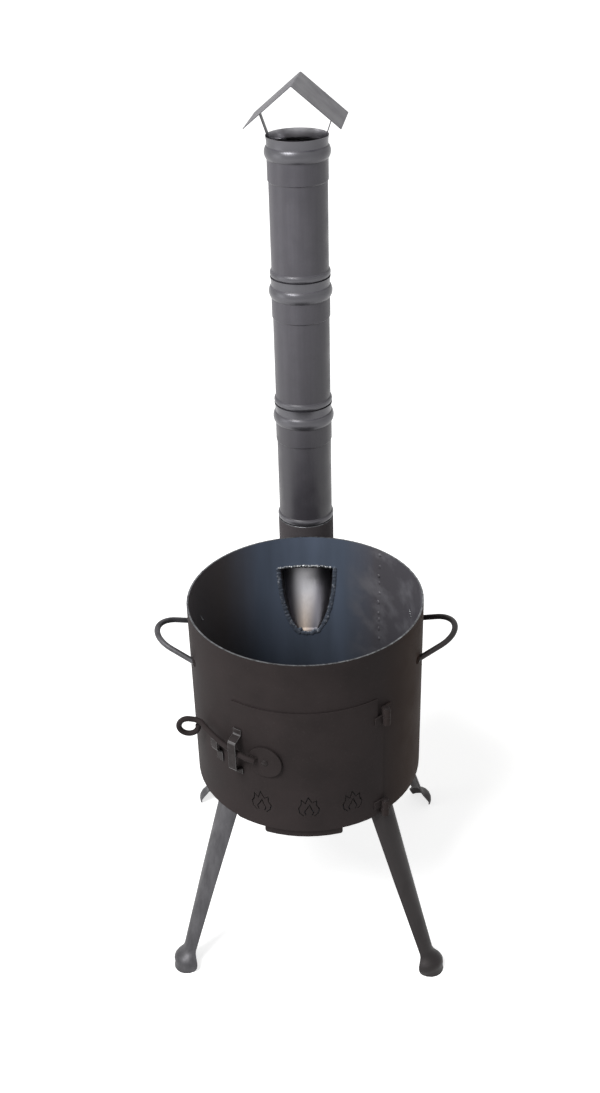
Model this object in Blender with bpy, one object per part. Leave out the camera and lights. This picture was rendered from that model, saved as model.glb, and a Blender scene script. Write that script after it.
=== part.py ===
"""Kazan stove with a sectional chimney, for an open fire under a round-bottomed kazan.

An open-topped steel drum stands on four splayed sheet legs. A curved door with three flame-shaped
vents swings on two pins at its right edge, and a round rod latch on a disc holds it. Smoke leaves
through an arched hole in the rear wall, up a formed scoop and a collar, into three socketed pipe
sections and out under a folded rain cap. A round grate rests on clips inside the drum.

Metres, +Z up. The door faces -Y and the chimney stands at +Y. The origin is on the ground, under
the middle of the whole stove. Inside the functions, places are measured from the drum's axis.
"""

import math

import bmesh
import bpy
from mathutils import Matrix, Vector

# Fits between pieces
GAP = 0.0003
WELD_DISTANCE = 1e-6

# Drum
DRUM_RADIUS = 0.208
DRUM_WALL = 0.003
DRUM_HEIGHT = 0.356
DRUM_SIDES = 72
FLOOR_THICKNESS = 0.003
GROUND_CLEARANCE = 0.319

# Curved strip that hangs below the drum under the door
SILL_DROP = 0.016
SILL_THICKNESS = 0.003
SILL_INSET = 0.002
SILL_LEFT = -21.8
SILL_RIGHT = 17.2
SILL_CORNER = 0.004

# Fire door, azimuths in degrees from the front towards the right
DOOR_LEFT = -37.5
DOOR_RIGHT = 39.0
DOOR_TOP_DROP = 0.097
DOOR_BOTTOM_LIFT = 0.0005
DOOR_THICKNESS = 0.002
DOOR_STANDOFF = 0.0004
DOOR_CORNER = 0.008
OPENING_LAP = 0.0135
OPENING_CORNER = 0.010
NOTCH_WIDTH = 0.0135
NOTCH_CLEARANCE = 0.0008

# Flame vents cut through the door as narrow kerfs
VENT_AZIMUTHS = (-22.5, 0.7, 22.0)
VENT_HEIGHT = 0.0565
VENT_KERF = 0.0018
VENT_SCALE = 1.0

# Door hinges: a drum knuckle with a pin, and a door knuckle that turns on it
BARREL_RADIUS = 0.007
PIN_RADIUS = 0.0035
PIN_CLEARANCE = 0.0003
PIN_HEAD_RADIUS = 0.0055
PIN_HEAD_HEIGHT = 0.0025
KNUCKLE_HEIGHT = 0.016
KNUCKLE_GAP = 0.0005
DRUM_LEAF_LENGTH = 0.017
DRUM_LEAF_THICKNESS = 0.004
DOOR_LEAF_LENGTH = 0.020
DOOR_LEAF_THICKNESS = 0.0022
UPPER_HINGE_DROP = 0.037
LOWER_HINGE_LIFT = 0.018

# Latch: a disc on a rivet, with a bent rod that ends in a finger ring
ROD_RADIUS = 0.005
LATCH_AZIMUTH = -19.5
LATCH_DROP = 0.206
LATCH_REST_TILT = 10.5
LATCH_DISC_RADIUS = 0.031
LATCH_DISC_THICKNESS = 0.003
LATCH_DISC_STANDOFF = 0.0006
LATCH_ROD_START = 0.016
LATCH_ROD_STRAIGHT = 0.034
LATCH_ROD_END = -56.0
LATCH_BEND_RADIUS = 0.020
RING_RADIUS = 0.017
RING_SWEEP = 292.0
RIVET_RADIUS = 0.003
RIVET_HEAD_RADIUS = 0.006
RIVET_HEAD_HEIGHT = 0.0028
RIVET_CLEARANCE = 0.0003

# Staple on the door that the latch rod passes through, and the catch on the drum
STRAP_WIDTH = 0.016
STRAP_THICKNESS = 0.0025
STAPLE_AZIMUTH = -33.6
STAPLE_HEIGHT = 0.096
STAPLE_RAISE = 0.006
STAPLE_FOOT = 0.012
STAPLE_RAMP = 0.007
STAPLE_CLEARANCE = 0.0012
CATCH_AZIMUTH = -46.5
CATCH_FOOT = 0.020
CATCH_RAMP = 0.010
CATCH_LENGTH = 0.050
CATCH_CLEARANCE = 0.0006

# Carrying handles: one bow of rod on each side
HANDLE_STAND = 0.057
HANDLE_SPREAD = 0.138
HANDLE_BOW_RADIUS = 0.050
HANDLE_ROOT_DROP = 0.088
HANDLE_TIP_DROP = 0.066

# Legs: arched strips that taper to a neck and flare into a half-round foot
LEG_AZIMUTHS = {"front_left": -48.0, "front_right": 42.0, "rear_right": 132.0, "rear_left": -138.0}
LEG_LEAN = 1.5
LEG_TOP_INSET = 0.016
LEG_SPLAY = 0.133
LEG_TOP_WIDTH = 0.052
LEG_NECK_WIDTH = 0.031
LEG_THICKNESS = 0.0025
LEG_ARCH = 0.26
FOOT_WIDTH = 0.057
FOOT_ARCH = 0.38
FOOT_HEIGHT = 0.036
FOOT_SHOULDER = 0.70
FOOT_TUCK = 0.35

# Flue: arched hole, scoop and collar
FLUE_TOP_DROP = 0.065
FLUE_HEIGHT = 0.159
FLUE_HALF_WIDTH = 0.051
FLUE_CLOSING = 0.965
FLUE_WALL = 0.002
COLLAR_STAND = 0.0195

# Chimney pipe
PIPE_RADIUS = 0.050
PIPE_WALL = 0.001
PIPE_SIDES = 28
SOCKET_CLEARANCE = 0.0005
SECTION_PITCH = 0.237
SECTION_COUNT = 3
INSERT_DEPTH = 0.060
SOCKET_DEPTH = 0.072
SOCKET_STEP = 0.004
BEAD_TOP = 0.015
BEAD_LENGTH = 0.022
BEAD_HEIGHT = 0.0042
LIP_FLARE = 0.0022
LIP_LENGTH = 0.007
STOP_BEAD_LENGTH = 0.013
STOP_BEAD_HEIGHT = 0.003

# Rain cap: a folded sheet on two sprung straps
CAP_LENGTH = 0.126
CAP_HALF_WIDTH = 0.079
CAP_RISE = 0.065
CAP_EAVES_STAND = 0.022
CAP_THICKNESS = 0.0012
CAP_YAW = -6.3
CAP_STRAP_WIDTH = 0.016
CAP_STRAP_THICKNESS = 0.0015
CAP_STRAP_DEPTH = 0.026
CAP_STRAP_TAB = 0.020
CAP_STRAP_LEAN = 0.012

# Grate and its clips
GRATE_CLEARANCE = 0.013
GRATE_THICKNESS = 0.006
GRATE_HEIGHT = 0.034
GRATE_SLOTS = 15
GRATE_SLOT_WIDTH = 0.011
GRATE_RIM = 0.016
GRATE_SPINE = 0.014
CLIP_WIDTH = 0.022
CLIP_THICKNESS = 0.003
CLIP_REACH = 0.024
CLIP_LEG = 0.020
CLIP_AZIMUTHS = (-60.0, 60.0, 120.0, -120.0)

# Heights and radii that follow from the sizes above
FLOOR_Z = GROUND_CLEARANCE
RIM_Z = FLOOR_Z + DRUM_HEIGHT
BORE_RADIUS = DRUM_RADIUS - DRUM_WALL
DOOR_BACK_RADIUS = DRUM_RADIUS + DOOR_STANDOFF
DOOR_FACE_RADIUS = DOOR_BACK_RADIUS + DOOR_THICKNESS
DOOR_TOP_Z = RIM_Z - DOOR_TOP_DROP
DOOR_BOTTOM_Z = FLOOR_Z + DOOR_BOTTOM_LIFT
HINGE_RADIUS = DOOR_FACE_RADIUS + GAP + BARREL_RADIUS
UPPER_HINGE_Z = DOOR_TOP_Z - UPPER_HINGE_DROP
LOWER_HINGE_Z = FLOOR_Z + LOWER_HINGE_LIFT
LATCH_Z = RIM_Z - LATCH_DROP
DISC_BACK_RADIUS = DOOR_FACE_RADIUS + LATCH_DISC_STANDOFF
DISC_FACE_RADIUS = DISC_BACK_RADIUS + LATCH_DISC_THICKNESS
LATCH_ROD_RADIUS = DISC_FACE_RADIUS + GAP + ROD_RADIUS
LATCH_ARC_RADIUS = math.hypot(LATCH_ROD_RADIUS, LATCH_ROD_STRAIGHT)
FLUE_TOP_Z = RIM_Z - FLUE_TOP_DROP
SOCKET_BORE = PIPE_RADIUS + SOCKET_CLEARANCE
SOCKET_RADIUS = SOCKET_BORE + PIPE_WALL
COLLAR_RADIUS = SOCKET_BORE + FLUE_WALL
FLUE_Y = DRUM_RADIUS + COLLAR_RADIUS + GAP
COLLAR_TOP_Z = RIM_Z + COLLAR_STAND
CHIMNEY_TOP_Z = COLLAR_TOP_Z + SECTION_COUNT * SECTION_PITCH
HANDLE_REACH = DRUM_RADIUS + HANDLE_STAND
LEG_TOP_REACH = DRUM_RADIUS - LEG_TOP_INSET
LEG_GROUND_REACH = LEG_TOP_REACH + LEG_SPLAY
GRATE_RADIUS = BORE_RADIUS - GRATE_CLEARANCE
GRATE_Z = FLOOR_Z + GRATE_HEIGHT

places = {}


# Scene and materials


def clear_scene():
    for thing in list(bpy.data.objects):
        bpy.data.objects.remove(thing)


def finish(name, colour, roughness, metallic):
    """One material, made the first time that a piece asks for it."""
    material = bpy.data.materials.get(name)
    if material is None:
        material = bpy.data.materials.new(name)
        material.use_nodes = True
        shader = material.node_tree.nodes["Principled BSDF"]
        shader.inputs["Base Color"].default_value = (*colour, 1.0)
        shader.inputs["Roughness"].default_value = roughness
        shader.inputs["Metallic"].default_value = metallic
    return material


def heat_paint():
    return finish("black_heat_paint", (0.045, 0.040, 0.038), 0.55, 0.3)


def grey_pipe_enamel():
    return finish("grey_pipe_enamel", (0.125, 0.122, 0.135), 0.42, 0.4)


def rolled_steel():
    return finish("rolled_steel", (0.115, 0.112, 0.115), 0.48, 0.7)


def cast_iron():
    return finish("cast_iron", (0.035, 0.034, 0.034), 0.75, 0.4)


def zinc_strap():
    return finish("bright_strap", (0.22, 0.22, 0.23), 0.35, 0.9)


# Empties that carry the moving bodies


def seat(name, place, parent=None):
    """An empty on a joint's axis. place is measured from the drum's axis on the ground."""
    empty = bpy.data.objects.new(name, None)
    empty.empty_display_size = 0.03
    bpy.context.collection.objects.link(empty)
    places[name] = Vector(place)
    if parent:
        empty.parent = bpy.data.objects[parent]
        empty.location = places[name] - places[parent]
    return empty


def add_piece(name, bm, material, carrier):
    """Closes a bmesh into a named object that its carrier's empty holds where it was modelled."""
    bmesh.ops.remove_doubles(bm, verts=bm.verts, dist=WELD_DISTANCE)
    bmesh.ops.recalc_face_normals(bm, faces=bm.faces)
    mesh = bpy.data.meshes.new(name)
    bm.to_mesh(mesh)
    bm.free()
    mesh.materials.append(material)
    mesh.shade_smooth()
    mesh.set_sharp_from_angle(angle=math.radians(35))
    piece = bpy.data.objects.new(name, mesh)
    bpy.context.collection.objects.link(piece)
    piece.parent = bpy.data.objects[carrier]
    piece.matrix_parent_inverse = Matrix.Translation(-places[carrier])
    return piece


def boolean(piece, tool, operation):
    """Joins or cuts a piece with a tool object, which the build leaves out."""
    tool.hide_render = True
    tool.display_type = "WIRE"
    modifier = piece.modifiers.new(tool.name, "BOOLEAN")
    modifier.operation = operation
    modifier.solver = "EXACT"
    modifier.object = tool


def add_tool(name, bm, carrier="stove"):
    tool = add_piece(name, bm, heat_paint(), carrier)
    tool.hide_render = True
    tool.display_type = "WIRE"
    return tool


# Shapes shared by the pieces


def on_ring(radius, azimuth, z=0.0):
    """A point at an azimuth in degrees, counted from the front towards the right."""
    angle = math.radians(azimuth)
    return Vector((radius * math.sin(angle), -radius * math.cos(angle), z))


def outward(azimuth):
    return on_ring(1.0, azimuth)


def rightward(azimuth):
    return on_ring(1.0, azimuth + 90.0)


def arc_points(centre, radius, start, end, steps):
    """Points of an arc in the plane, angles in degrees."""
    points = []
    for step in range(steps + 1):
        angle = math.radians(start + (end - start) * step / steps)
        points.append((centre[0] + radius * math.cos(angle), centre[1] + radius * math.sin(angle)))
    return points


def rounded_box(left, bottom, right, top, radius, steps=3):
    """The outline of a rectangle with round corners, anticlockwise."""
    corners = ((right, bottom, -90), (right, top, 0), (left, top, 90), (left, bottom, 180))
    outline = []
    for x, y, start in corners:
        inner = (x - math.copysign(radius, x - (left + right) / 2),
                 y - math.copysign(radius, y - (bottom + top) / 2))
        outline += arc_points(inner, radius, start, start + 90, steps)
    return outline


def ribbon(points, width):
    """The outline of a band of even width along an open path in the plane, with mitred bends."""
    sides = ([], [])
    for i, point in enumerate(points):
        here = Vector(point)
        before = here - Vector(points[i - 1]) if i else Vector(points[1]) - here
        after = Vector(points[i + 1]) - here if i + 1 < len(points) else before
        before, after = before.normalized(), after.normalized()
        normal = Vector((-(before + after).y, (before + after).x)).normalized()
        reach = 0.5 * width / max(normal.dot(Vector((-before.y, before.x))), 0.4)
        sides[0].append(tuple(here + normal * reach))
        sides[1].append(tuple(here - normal * reach))
    return sides[0] + sides[1][::-1]


def evaluated(thing):
    """The mesh that a helper object shows, as a bmesh. The helper is removed."""
    graph = bpy.context.evaluated_depsgraph_get()
    bm = bmesh.new()
    bm.from_mesh(thing.evaluated_get(graph).to_mesh())
    bpy.data.objects.remove(thing)
    bmesh.ops.remove_doubles(bm, verts=bm.verts, dist=WELD_DISTANCE)
    return bm


def curve_object(outlines, cyclic, **settings):
    data = bpy.data.curves.new("helper", "CURVE")
    for key, value in settings.items():
        setattr(data, key, value)
    for outline in outlines:
        spline = data.splines.new("POLY")
        spline.points.add(len(outline) - 1)
        for point, place in zip(spline.points, outline):
            point.co = (*place, 0.0, 1.0) if len(place) == 2 else (*place, 1.0)
        spline.use_cyclic_u = cyclic
    helper = bpy.data.objects.new("helper", data)
    bpy.context.collection.objects.link(helper)
    return helper


def sheet(outlines, thickness):
    """A flat sheet from outlines in XY, holes included, half its thickness to each side of z = 0."""
    return evaluated(curve_object(outlines, True, dimensions="2D", fill_mode="BOTH",
                                  extrude=thickness / 2))


def rod(path, radius, resolution=2):
    """A round bar along a path, closed at both ends."""
    return evaluated(curve_object([path], False, dimensions="3D", bevel_depth=radius,
                                  bevel_resolution=resolution, use_fill_caps=True))


def placed(bm, origin, x_axis, y_axis):
    """Moves a flat shape so that its X and Y lie along the given axes."""
    x_axis, y_axis = Vector(x_axis), Vector(y_axis)
    z_axis = x_axis.cross(y_axis)
    turn = Matrix((x_axis, y_axis, z_axis)).transposed().to_4x4()
    bm.transform(Matrix.Translation(origin) @ turn)
    return bm


def rolled(bm, radius):
    """Rolls a flat sheet round the drum's axis: X is length along the arc, Y is height.

    The sheet is creased at the drum's own corners, so that it lies flat on each facet.
    """
    step = 2 * math.pi / DRUM_SIDES
    span = [v.co.x / radius / step for v in bm.verts]
    for crease in range(math.ceil(min(span) + 1e-4), math.floor(max(span) - 1e-4) + 1):
        bmesh.ops.bisect_plane(bm, geom=bm.verts[:] + bm.edges[:] + bm.faces[:], dist=1e-6,
                               plane_co=(crease * step * radius, 0, 0), plane_no=(1, 0, 0))
    for vertex in bm.verts:
        length, height, depth = vertex.co
        facet = math.floor(length / radius / step + 1e-4)
        share = length / radius / step - facet
        left = on_ring(radius + depth, math.degrees(facet * step), height)
        right = on_ring(radius + depth, math.degrees((facet + 1) * step), height)
        vertex.co = left.lerp(right, share)
    return bm


def turned(profile, sides, centre=(0.0, 0.0)):
    """A solid of revolution about a vertical axis from a closed profile of (radius, height)."""
    bm = bmesh.new()
    ring = [bm.verts.new((0.0, -radius, height)) for radius, height in profile]
    edges = [bm.edges.new((ring[i - 1], ring[i])) for i in range(len(ring))]
    bmesh.ops.spin(bm, geom=ring + edges, cent=(0, 0, 0), axis=(0, 0, 1), angle=2 * math.pi,
                   steps=sides, use_merge=True)
    bmesh.ops.remove_doubles(bm, verts=bm.verts, dist=WELD_DISTANCE)
    bm.transform(Matrix.Translation((*centre, 0.0)))
    return bm


def cylinder(radius, bottom, top, sides, centre=(0.0, 0.0)):
    """A plain round bar or cutter with a corner facing the front, as the turned pieces have."""
    bm = bmesh.new()
    ring = [bm.verts.new(on_ring(radius, 360.0 * i / sides, bottom)) for i in range(sides)]
    base = bm.faces.new(ring)
    top_face = bmesh.ops.extrude_face_region(bm, geom=[base])["geom"]
    bmesh.ops.translate(bm, vec=(0, 0, top - bottom),
                        verts=[v for v in top_face if isinstance(v, bmesh.types.BMVert)])
    bm.transform(Matrix.Translation((*centre, 0.0)))
    bmesh.ops.recalc_face_normals(bm, faces=bm.faces)
    return bm


def lofted(sections):
    """A closed solid through sections of equally many points, capped at both ends."""
    bm = bmesh.new()
    rings = [[bm.verts.new(point) for point in section] for section in sections]
    for lower, upper in zip(rings, rings[1:]):
        for i in range(len(lower)):
            bm.faces.new((lower[i - 1], lower[i], upper[i], upper[i - 1]))
    bm.faces.new(rings[0])
    bm.faces.new(rings[-1])
    return bm


# Drum


def arc_length(azimuth, radius):
    return math.radians(azimuth) * radius


def opening_edges():
    """The door opening: left and right azimuth, bottom and top height."""
    lap = math.degrees(OPENING_LAP / DRUM_RADIUS)
    notch = math.degrees((NOTCH_WIDTH + 0.003) / DRUM_RADIUS)
    return (DOOR_LEFT + lap, DOOR_RIGHT - notch, DOOR_BOTTOM_Z + OPENING_LAP, DOOR_TOP_Z - OPENING_LAP)


def flue_half_width(share, margin=0.0):
    """Half the width of the arched flue hole, share being 0 at its flat top and 1 at its foot."""
    return (FLUE_HALF_WIDTH + margin) * math.sqrt(1.0 - share ** 1.5)


def flue_shares():
    return [FLUE_CLOSING * (1.0 - (1.0 - i / 7) ** 1.6) for i in range(8)]


def flue_cutter():
    """A prism through the rear wall with the outline of the arched hole."""
    right = [(flue_half_width(s), FLUE_TOP_Z - s * FLUE_HEIGHT) for s in flue_shares()]
    left = [(-x, z) for x, z in reversed(right)]
    bm = sheet([left + right], 20 * DRUM_WALL)
    return placed(bm, (0, DRUM_RADIUS, 0), (-1, 0, 0), (0, 0, 1))


def add_drum_shell():
    shell = turned([(DRUM_RADIUS, RIM_Z), (DRUM_RADIUS, FLOOR_Z),
                    (BORE_RADIUS, FLOOR_Z), (BORE_RADIUS, RIM_Z)], DRUM_SIDES)
    piece = add_piece("drum_shell", shell, heat_paint(), "stove")
    left, right, bottom, top = opening_edges()
    outline = rounded_box(arc_length(left, DRUM_RADIUS), bottom, arc_length(right, DRUM_RADIUS), top,
                          OPENING_CORNER)
    boolean(piece, add_tool("door_opening", rolled(sheet([outline], 10 * DRUM_WALL), DRUM_RADIUS)), "DIFFERENCE")
    boolean(piece, add_tool("flue_hole", flue_cutter()), "DIFFERENCE")


def add_drum_floor():
    floor = cylinder(BORE_RADIUS - GAP, FLOOR_Z, FLOOR_Z + FLOOR_THICKNESS, DRUM_SIDES)
    add_piece("drum_floor", floor, heat_paint(), "stove")


def add_sill_strip():
    radius = DRUM_RADIUS - SILL_INSET - SILL_THICKNESS / 2
    left, right = arc_length(SILL_LEFT, radius), arc_length(SILL_RIGHT, radius)
    low = FLOOR_Z - SILL_DROP + SILL_CORNER
    outline = [(right, FLOOR_Z - GAP), (left, FLOOR_Z - GAP)]
    outline += arc_points((left + SILL_CORNER, low), SILL_CORNER, 180, 270, 3)
    outline += arc_points((right - SILL_CORNER, low), SILL_CORNER, 270, 360, 3)
    add_piece("sill_strip", rolled(sheet([outline], SILL_THICKNESS), radius), heat_paint(), "stove")


# Door with its flame vents


def flame_kerfs(centre_x, centre_z):
    """Two open kerfs that draw a flame: three tongues outside, one small tongue inside."""
    tongues = [(-9, -21), (-16.5, -13), (-18, -3), (-13.5, 5), (-13, 16), (-6, 8), (-1, 22),
               (6, 9), (13, 14), (13, 4), (18, -5), (15.5, -14), (9, -21)]
    heart = [(-5, -19), (-8, -11), (-3.5, -4), (1, 5), (4, -4), (8, -12), (5, -19)]
    scale = VENT_SCALE / 1000.0
    kerfs = []
    for path in (tongues, heart):
        kerfs.append(ribbon([(centre_x + x * scale, centre_z + z * scale) for x, z in path], VENT_KERF))
    return kerfs


def door_outline(radius):
    """The door sheet laid flat, with a notch at both right corners for the drum's knuckles."""
    left, right = arc_length(DOOR_LEFT, radius), arc_length(DOOR_RIGHT, radius)
    notch = right - NOTCH_WIDTH
    low = LOWER_HINGE_Z + NOTCH_CLEARANCE - KNUCKLE_GAP / 2
    high = UPPER_HINGE_Z - NOTCH_CLEARANCE + KNUCKLE_GAP / 2
    corner = DOOR_CORNER
    outline = [(notch, DOOR_BOTTOM_Z), (notch, low), (right, low), (right, high), (notch, high),
               (notch, DOOR_TOP_Z)]
    outline += arc_points((left + corner, DOOR_TOP_Z - corner), corner, 90, 180, 3)
    outline += arc_points((left + corner, DOOR_BOTTOM_Z + corner), corner, 180, 270, 3)
    return outline


def rivet_hole(radius):
    centre = (arc_length(LATCH_AZIMUTH, radius), LATCH_Z)
    return arc_points(centre, RIVET_RADIUS + GAP, 0, 330, 11)


def add_door_panel():
    radius = DOOR_BACK_RADIUS + DOOR_THICKNESS / 2
    outlines = [door_outline(radius), rivet_hole(radius)]
    for azimuth in VENT_AZIMUTHS:
        outlines += flame_kerfs(arc_length(azimuth, radius), FLOOR_Z + VENT_HEIGHT)
    add_piece("door_panel", rolled(sheet(outlines, DOOR_THICKNESS), radius), heat_paint(), "door_hinge")


# Hinges


def leaf(back_radius, thickness, start, end, bottom, top):
    """A curved hinge leaf on a wall, from start to end along the arc, past the knuckle's axis."""
    radius = back_radius + thickness / 2
    middle = arc_length(DOOR_RIGHT, radius)
    outline = [(middle + start, bottom), (middle + end, bottom), (middle + end, top), (middle + start, top)]
    return rolled(sheet([outline], thickness), radius)


def add_knuckle(name, bottom, leaf_bm, carrier):
    """A leaf with a barrel on the hinge axis, bored for the pin."""
    axis = on_ring(HINGE_RADIUS, DOOR_RIGHT)
    top = bottom + KNUCKLE_HEIGHT
    piece = add_piece(name, leaf_bm, rolled_steel(), carrier)
    barrel = cylinder(BARREL_RADIUS, bottom, top, 14, axis.xy)
    boolean(piece, add_tool(name + "_barrel", barrel, carrier), "UNION")
    bore = cylinder(PIN_RADIUS + PIN_CLEARANCE, bottom - 0.005, top + 0.005, 12, axis.xy)
    boolean(piece, add_tool(name + "_bore", bore, carrier), "DIFFERENCE")


def add_hinge(level, split, drum_knuckle_above):
    """One hinge about the height where its two knuckles meet, with a headed pin."""
    above, below = split + KNUCKLE_GAP / 2, split - KNUCKLE_GAP / 2 - KNUCKLE_HEIGHT
    drum_bottom, door_bottom = (above, below) if drum_knuckle_above else (below, above)
    drum_leaf = leaf(DRUM_RADIUS + GAP, DRUM_LEAF_THICKNESS, -0.004, DRUM_LEAF_LENGTH,
                     drum_bottom, drum_bottom + KNUCKLE_HEIGHT)
    add_knuckle("drum_knuckle_" + level, drum_bottom, drum_leaf, "stove")
    door_leaf = leaf(DOOR_FACE_RADIUS + GAP, DOOR_LEAF_THICKNESS, -DOOR_LEAF_LENGTH, 0.0,
                     door_bottom, door_bottom + KNUCKLE_HEIGHT)
    add_knuckle("door_knuckle_" + level, door_bottom, door_leaf, "door_hinge")
    crown = max(above, below) + KNUCKLE_HEIGHT + GAP
    foot = min(above, below)
    shaft = [(0.0002, foot), (PIN_RADIUS, foot), (PIN_RADIUS, crown), (PIN_HEAD_RADIUS, crown),
             (PIN_HEAD_RADIUS, crown + 0.4 * PIN_HEAD_HEIGHT),
             (0.6 * PIN_HEAD_RADIUS, crown + PIN_HEAD_HEIGHT), (0.0002, crown + PIN_HEAD_HEIGHT)]
    add_pin("hinge_pin_" + level, shaft, on_ring(HINGE_RADIUS, DOOR_RIGHT), "stove")


def add_pin(name, profile, axis, carrier):
    """A turned pin. Its profile starts and ends near the axis, where the ends are closed flat."""
    bm = bmesh.new()
    rings = [[bm.verts.new(on_ring(radius, 30.0 * i, height) + Vector((axis.x, axis.y, 0)))
              for i in range(12)] for radius, height in profile[1:-1]]
    for lower, upper in zip(rings, rings[1:]):
        for i in range(12):
            bm.faces.new((lower[i - 1], lower[i], upper[i], upper[i - 1]))
    bm.faces.new(rings[0])
    bm.faces.new(rings[-1])
    add_piece(name, bm, zinc_strap(), carrier)


# Latch, staple and catch


def latch_turn():
    """Tilts the latch from level to its place at rest, about its rivet."""
    pivot = on_ring(0.0, 0.0, LATCH_Z)
    turn = Matrix.Rotation(math.radians(LATCH_REST_TILT), 4, -outward(LATCH_AZIMUTH))
    return Matrix.Translation(pivot) @ turn @ Matrix.Translation(-pivot)


def add_latch_disc():
    """The round plate that the rod is welded to, flat against the door, bored for the rivet."""
    rim = [(LATCH_DISC_RADIUS * math.cos(math.radians(15 * i)),
            LATCH_DISC_RADIUS * math.sin(math.radians(15 * i))) for i in range(24)]
    bore = arc_points((0, 0), RIVET_RADIUS + RIVET_CLEARANCE, 0, 330, 11)
    middle = (DISC_BACK_RADIUS + DISC_FACE_RADIUS) / 2
    disc = placed(sheet([rim, bore], LATCH_DISC_THICKNESS), on_ring(middle, LATCH_AZIMUTH, LATCH_Z),
                  rightward(LATCH_AZIMUTH), (0, 0, 1))
    disc.transform(latch_turn())
    add_piece("latch_disc", disc, heat_paint(), "latch_pivot")


def latch_rod_path():
    """Straight over the disc, round the drum, out to the left, then down and round as a finger ring."""
    path = [on_ring(LATCH_ROD_RADIUS, LATCH_AZIMUTH, LATCH_Z) - rightward(LATCH_AZIMUTH) * LATCH_ROD_START]
    start = LATCH_AZIMUTH - math.degrees(math.atan2(LATCH_ROD_STRAIGHT, LATCH_ROD_RADIUS))
    path += [on_ring(LATCH_ARC_RADIUS, start + (LATCH_ROD_END - start) * i / 6, LATCH_Z) for i in range(7)]
    bend_start = path[-1]
    bend_centre = bend_start + outward(LATCH_ROD_END) * LATCH_BEND_RADIUS
    turn = math.acos(-rightward(LATCH_ROD_END).dot(Vector((-1, 0, 0))))
    for i in range(1, 5):
        path.append(bend_centre + Matrix.Rotation(turn * i / 4, 3, "Z") @ (bend_start - bend_centre))
    ring_top = path[-1] + Vector((-0.4 * RING_RADIUS, 0, 0))
    for i in range(14):
        angle = math.radians(90 + RING_SWEEP * i / 13)
        path.append(ring_top + Vector((RING_RADIUS * math.cos(angle), 0,
                                       RING_RADIUS * (math.sin(angle) - 1))))
    return path


def add_latch_rod():
    bar = rod(latch_rod_path(), ROD_RADIUS)
    bar.transform(latch_turn())
    add_piece("latch_rod", bar, heat_paint(), "latch_pivot")


def add_latch_rivet():
    """Through the disc and the door, with a domed head on each end."""
    inner, outer = DOOR_BACK_RADIUS - 0.0016, DISC_FACE_RADIUS + GAP
    profile = [(RIVET_HEAD_RADIUS, inner - RIVET_HEAD_HEIGHT / 2), (RIVET_HEAD_RADIUS, inner),
               (RIVET_RADIUS, inner), (RIVET_RADIUS, outer), (RIVET_HEAD_RADIUS, outer),
               (RIVET_HEAD_RADIUS, outer + 0.4 * RIVET_HEAD_HEIGHT),
               (0.6 * RIVET_HEAD_RADIUS, outer + RIVET_HEAD_HEIGHT)]
    rings = []
    for radius, depth in profile:
        centre = on_ring(depth, LATCH_AZIMUTH, LATCH_Z)
        rings.append([centre + rightward(LATCH_AZIMUTH) * radius * math.cos(math.radians(30 * i))
                      + Vector((0, 0, radius * math.sin(math.radians(30 * i)))) for i in range(12)])
    add_piece("latch_rivet", lofted(rings), zinc_strap(), "door_hinge")


def add_strap(name, path, azimuth, material, carrier):
    """A bent strap whose side view is a path of (distance from the drum's axis, height)."""
    bm = sheet([ribbon(path, STRAP_THICKNESS)], STRAP_WIDTH)
    placed(bm, (0, 0, 0), outward(azimuth), (0, 0, 1))
    add_piece(name, bm, material, carrier)


def add_latch_staple():
    foot = DOOR_FACE_RADIUS + GAP + STRAP_THICKNESS / 2
    stand = LATCH_ARC_RADIUS + ROD_RADIUS + STAPLE_CLEARANCE + STRAP_THICKNESS / 2
    middle = LATCH_Z + STAPLE_RAISE
    half = STAPLE_HEIGHT / 2
    path = [(foot, middle - half), (foot, middle - half + STAPLE_FOOT),
            (stand, middle - half + STAPLE_FOOT + STAPLE_RAMP),
            (stand, middle + half - STAPLE_FOOT - STAPLE_RAMP),
            (foot, middle + half - STAPLE_FOOT), (foot, middle + half)]
    add_strap("latch_staple", path, STAPLE_AZIMUTH, zinc_strap(), "door_hinge")


def rod_underside(azimuth):
    """Distance from the drum's axis and height of the rod's underside above the catch, at rest."""
    angle = math.radians(LATCH_AZIMUTH - azimuth)
    tilt = math.radians(LATCH_REST_TILT)
    sideways = LATCH_ARC_RADIUS * math.sin(angle) * math.cos(tilt)
    radius = math.hypot(sideways, LATCH_ARC_RADIUS * math.cos(angle))
    rise = LATCH_ARC_RADIUS * math.sin(angle) * math.sin(tilt)
    return radius, LATCH_Z + rise - ROD_RADIUS / math.cos(tilt)


def add_latch_catch():
    """A bent strap on the drum whose upright tip the rod lies on."""
    foot = DRUM_RADIUS + 2 * GAP + STRAP_THICKNESS / 2
    stand, underside = rod_underside(CATCH_AZIMUTH)
    inner_end = underside - STRAP_WIDTH / 2 * math.tan(math.radians(LATCH_REST_TILT))
    tip = inner_end - CATCH_CLEARANCE
    base = tip - CATCH_LENGTH
    path = [(foot, base), (foot, base + CATCH_FOOT), (stand, base + CATCH_FOOT + CATCH_RAMP), (stand, tip)]
    add_strap("latch_catch", path, CATCH_AZIMUTH, zinc_strap(), "stove")


# Handles and legs


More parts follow.
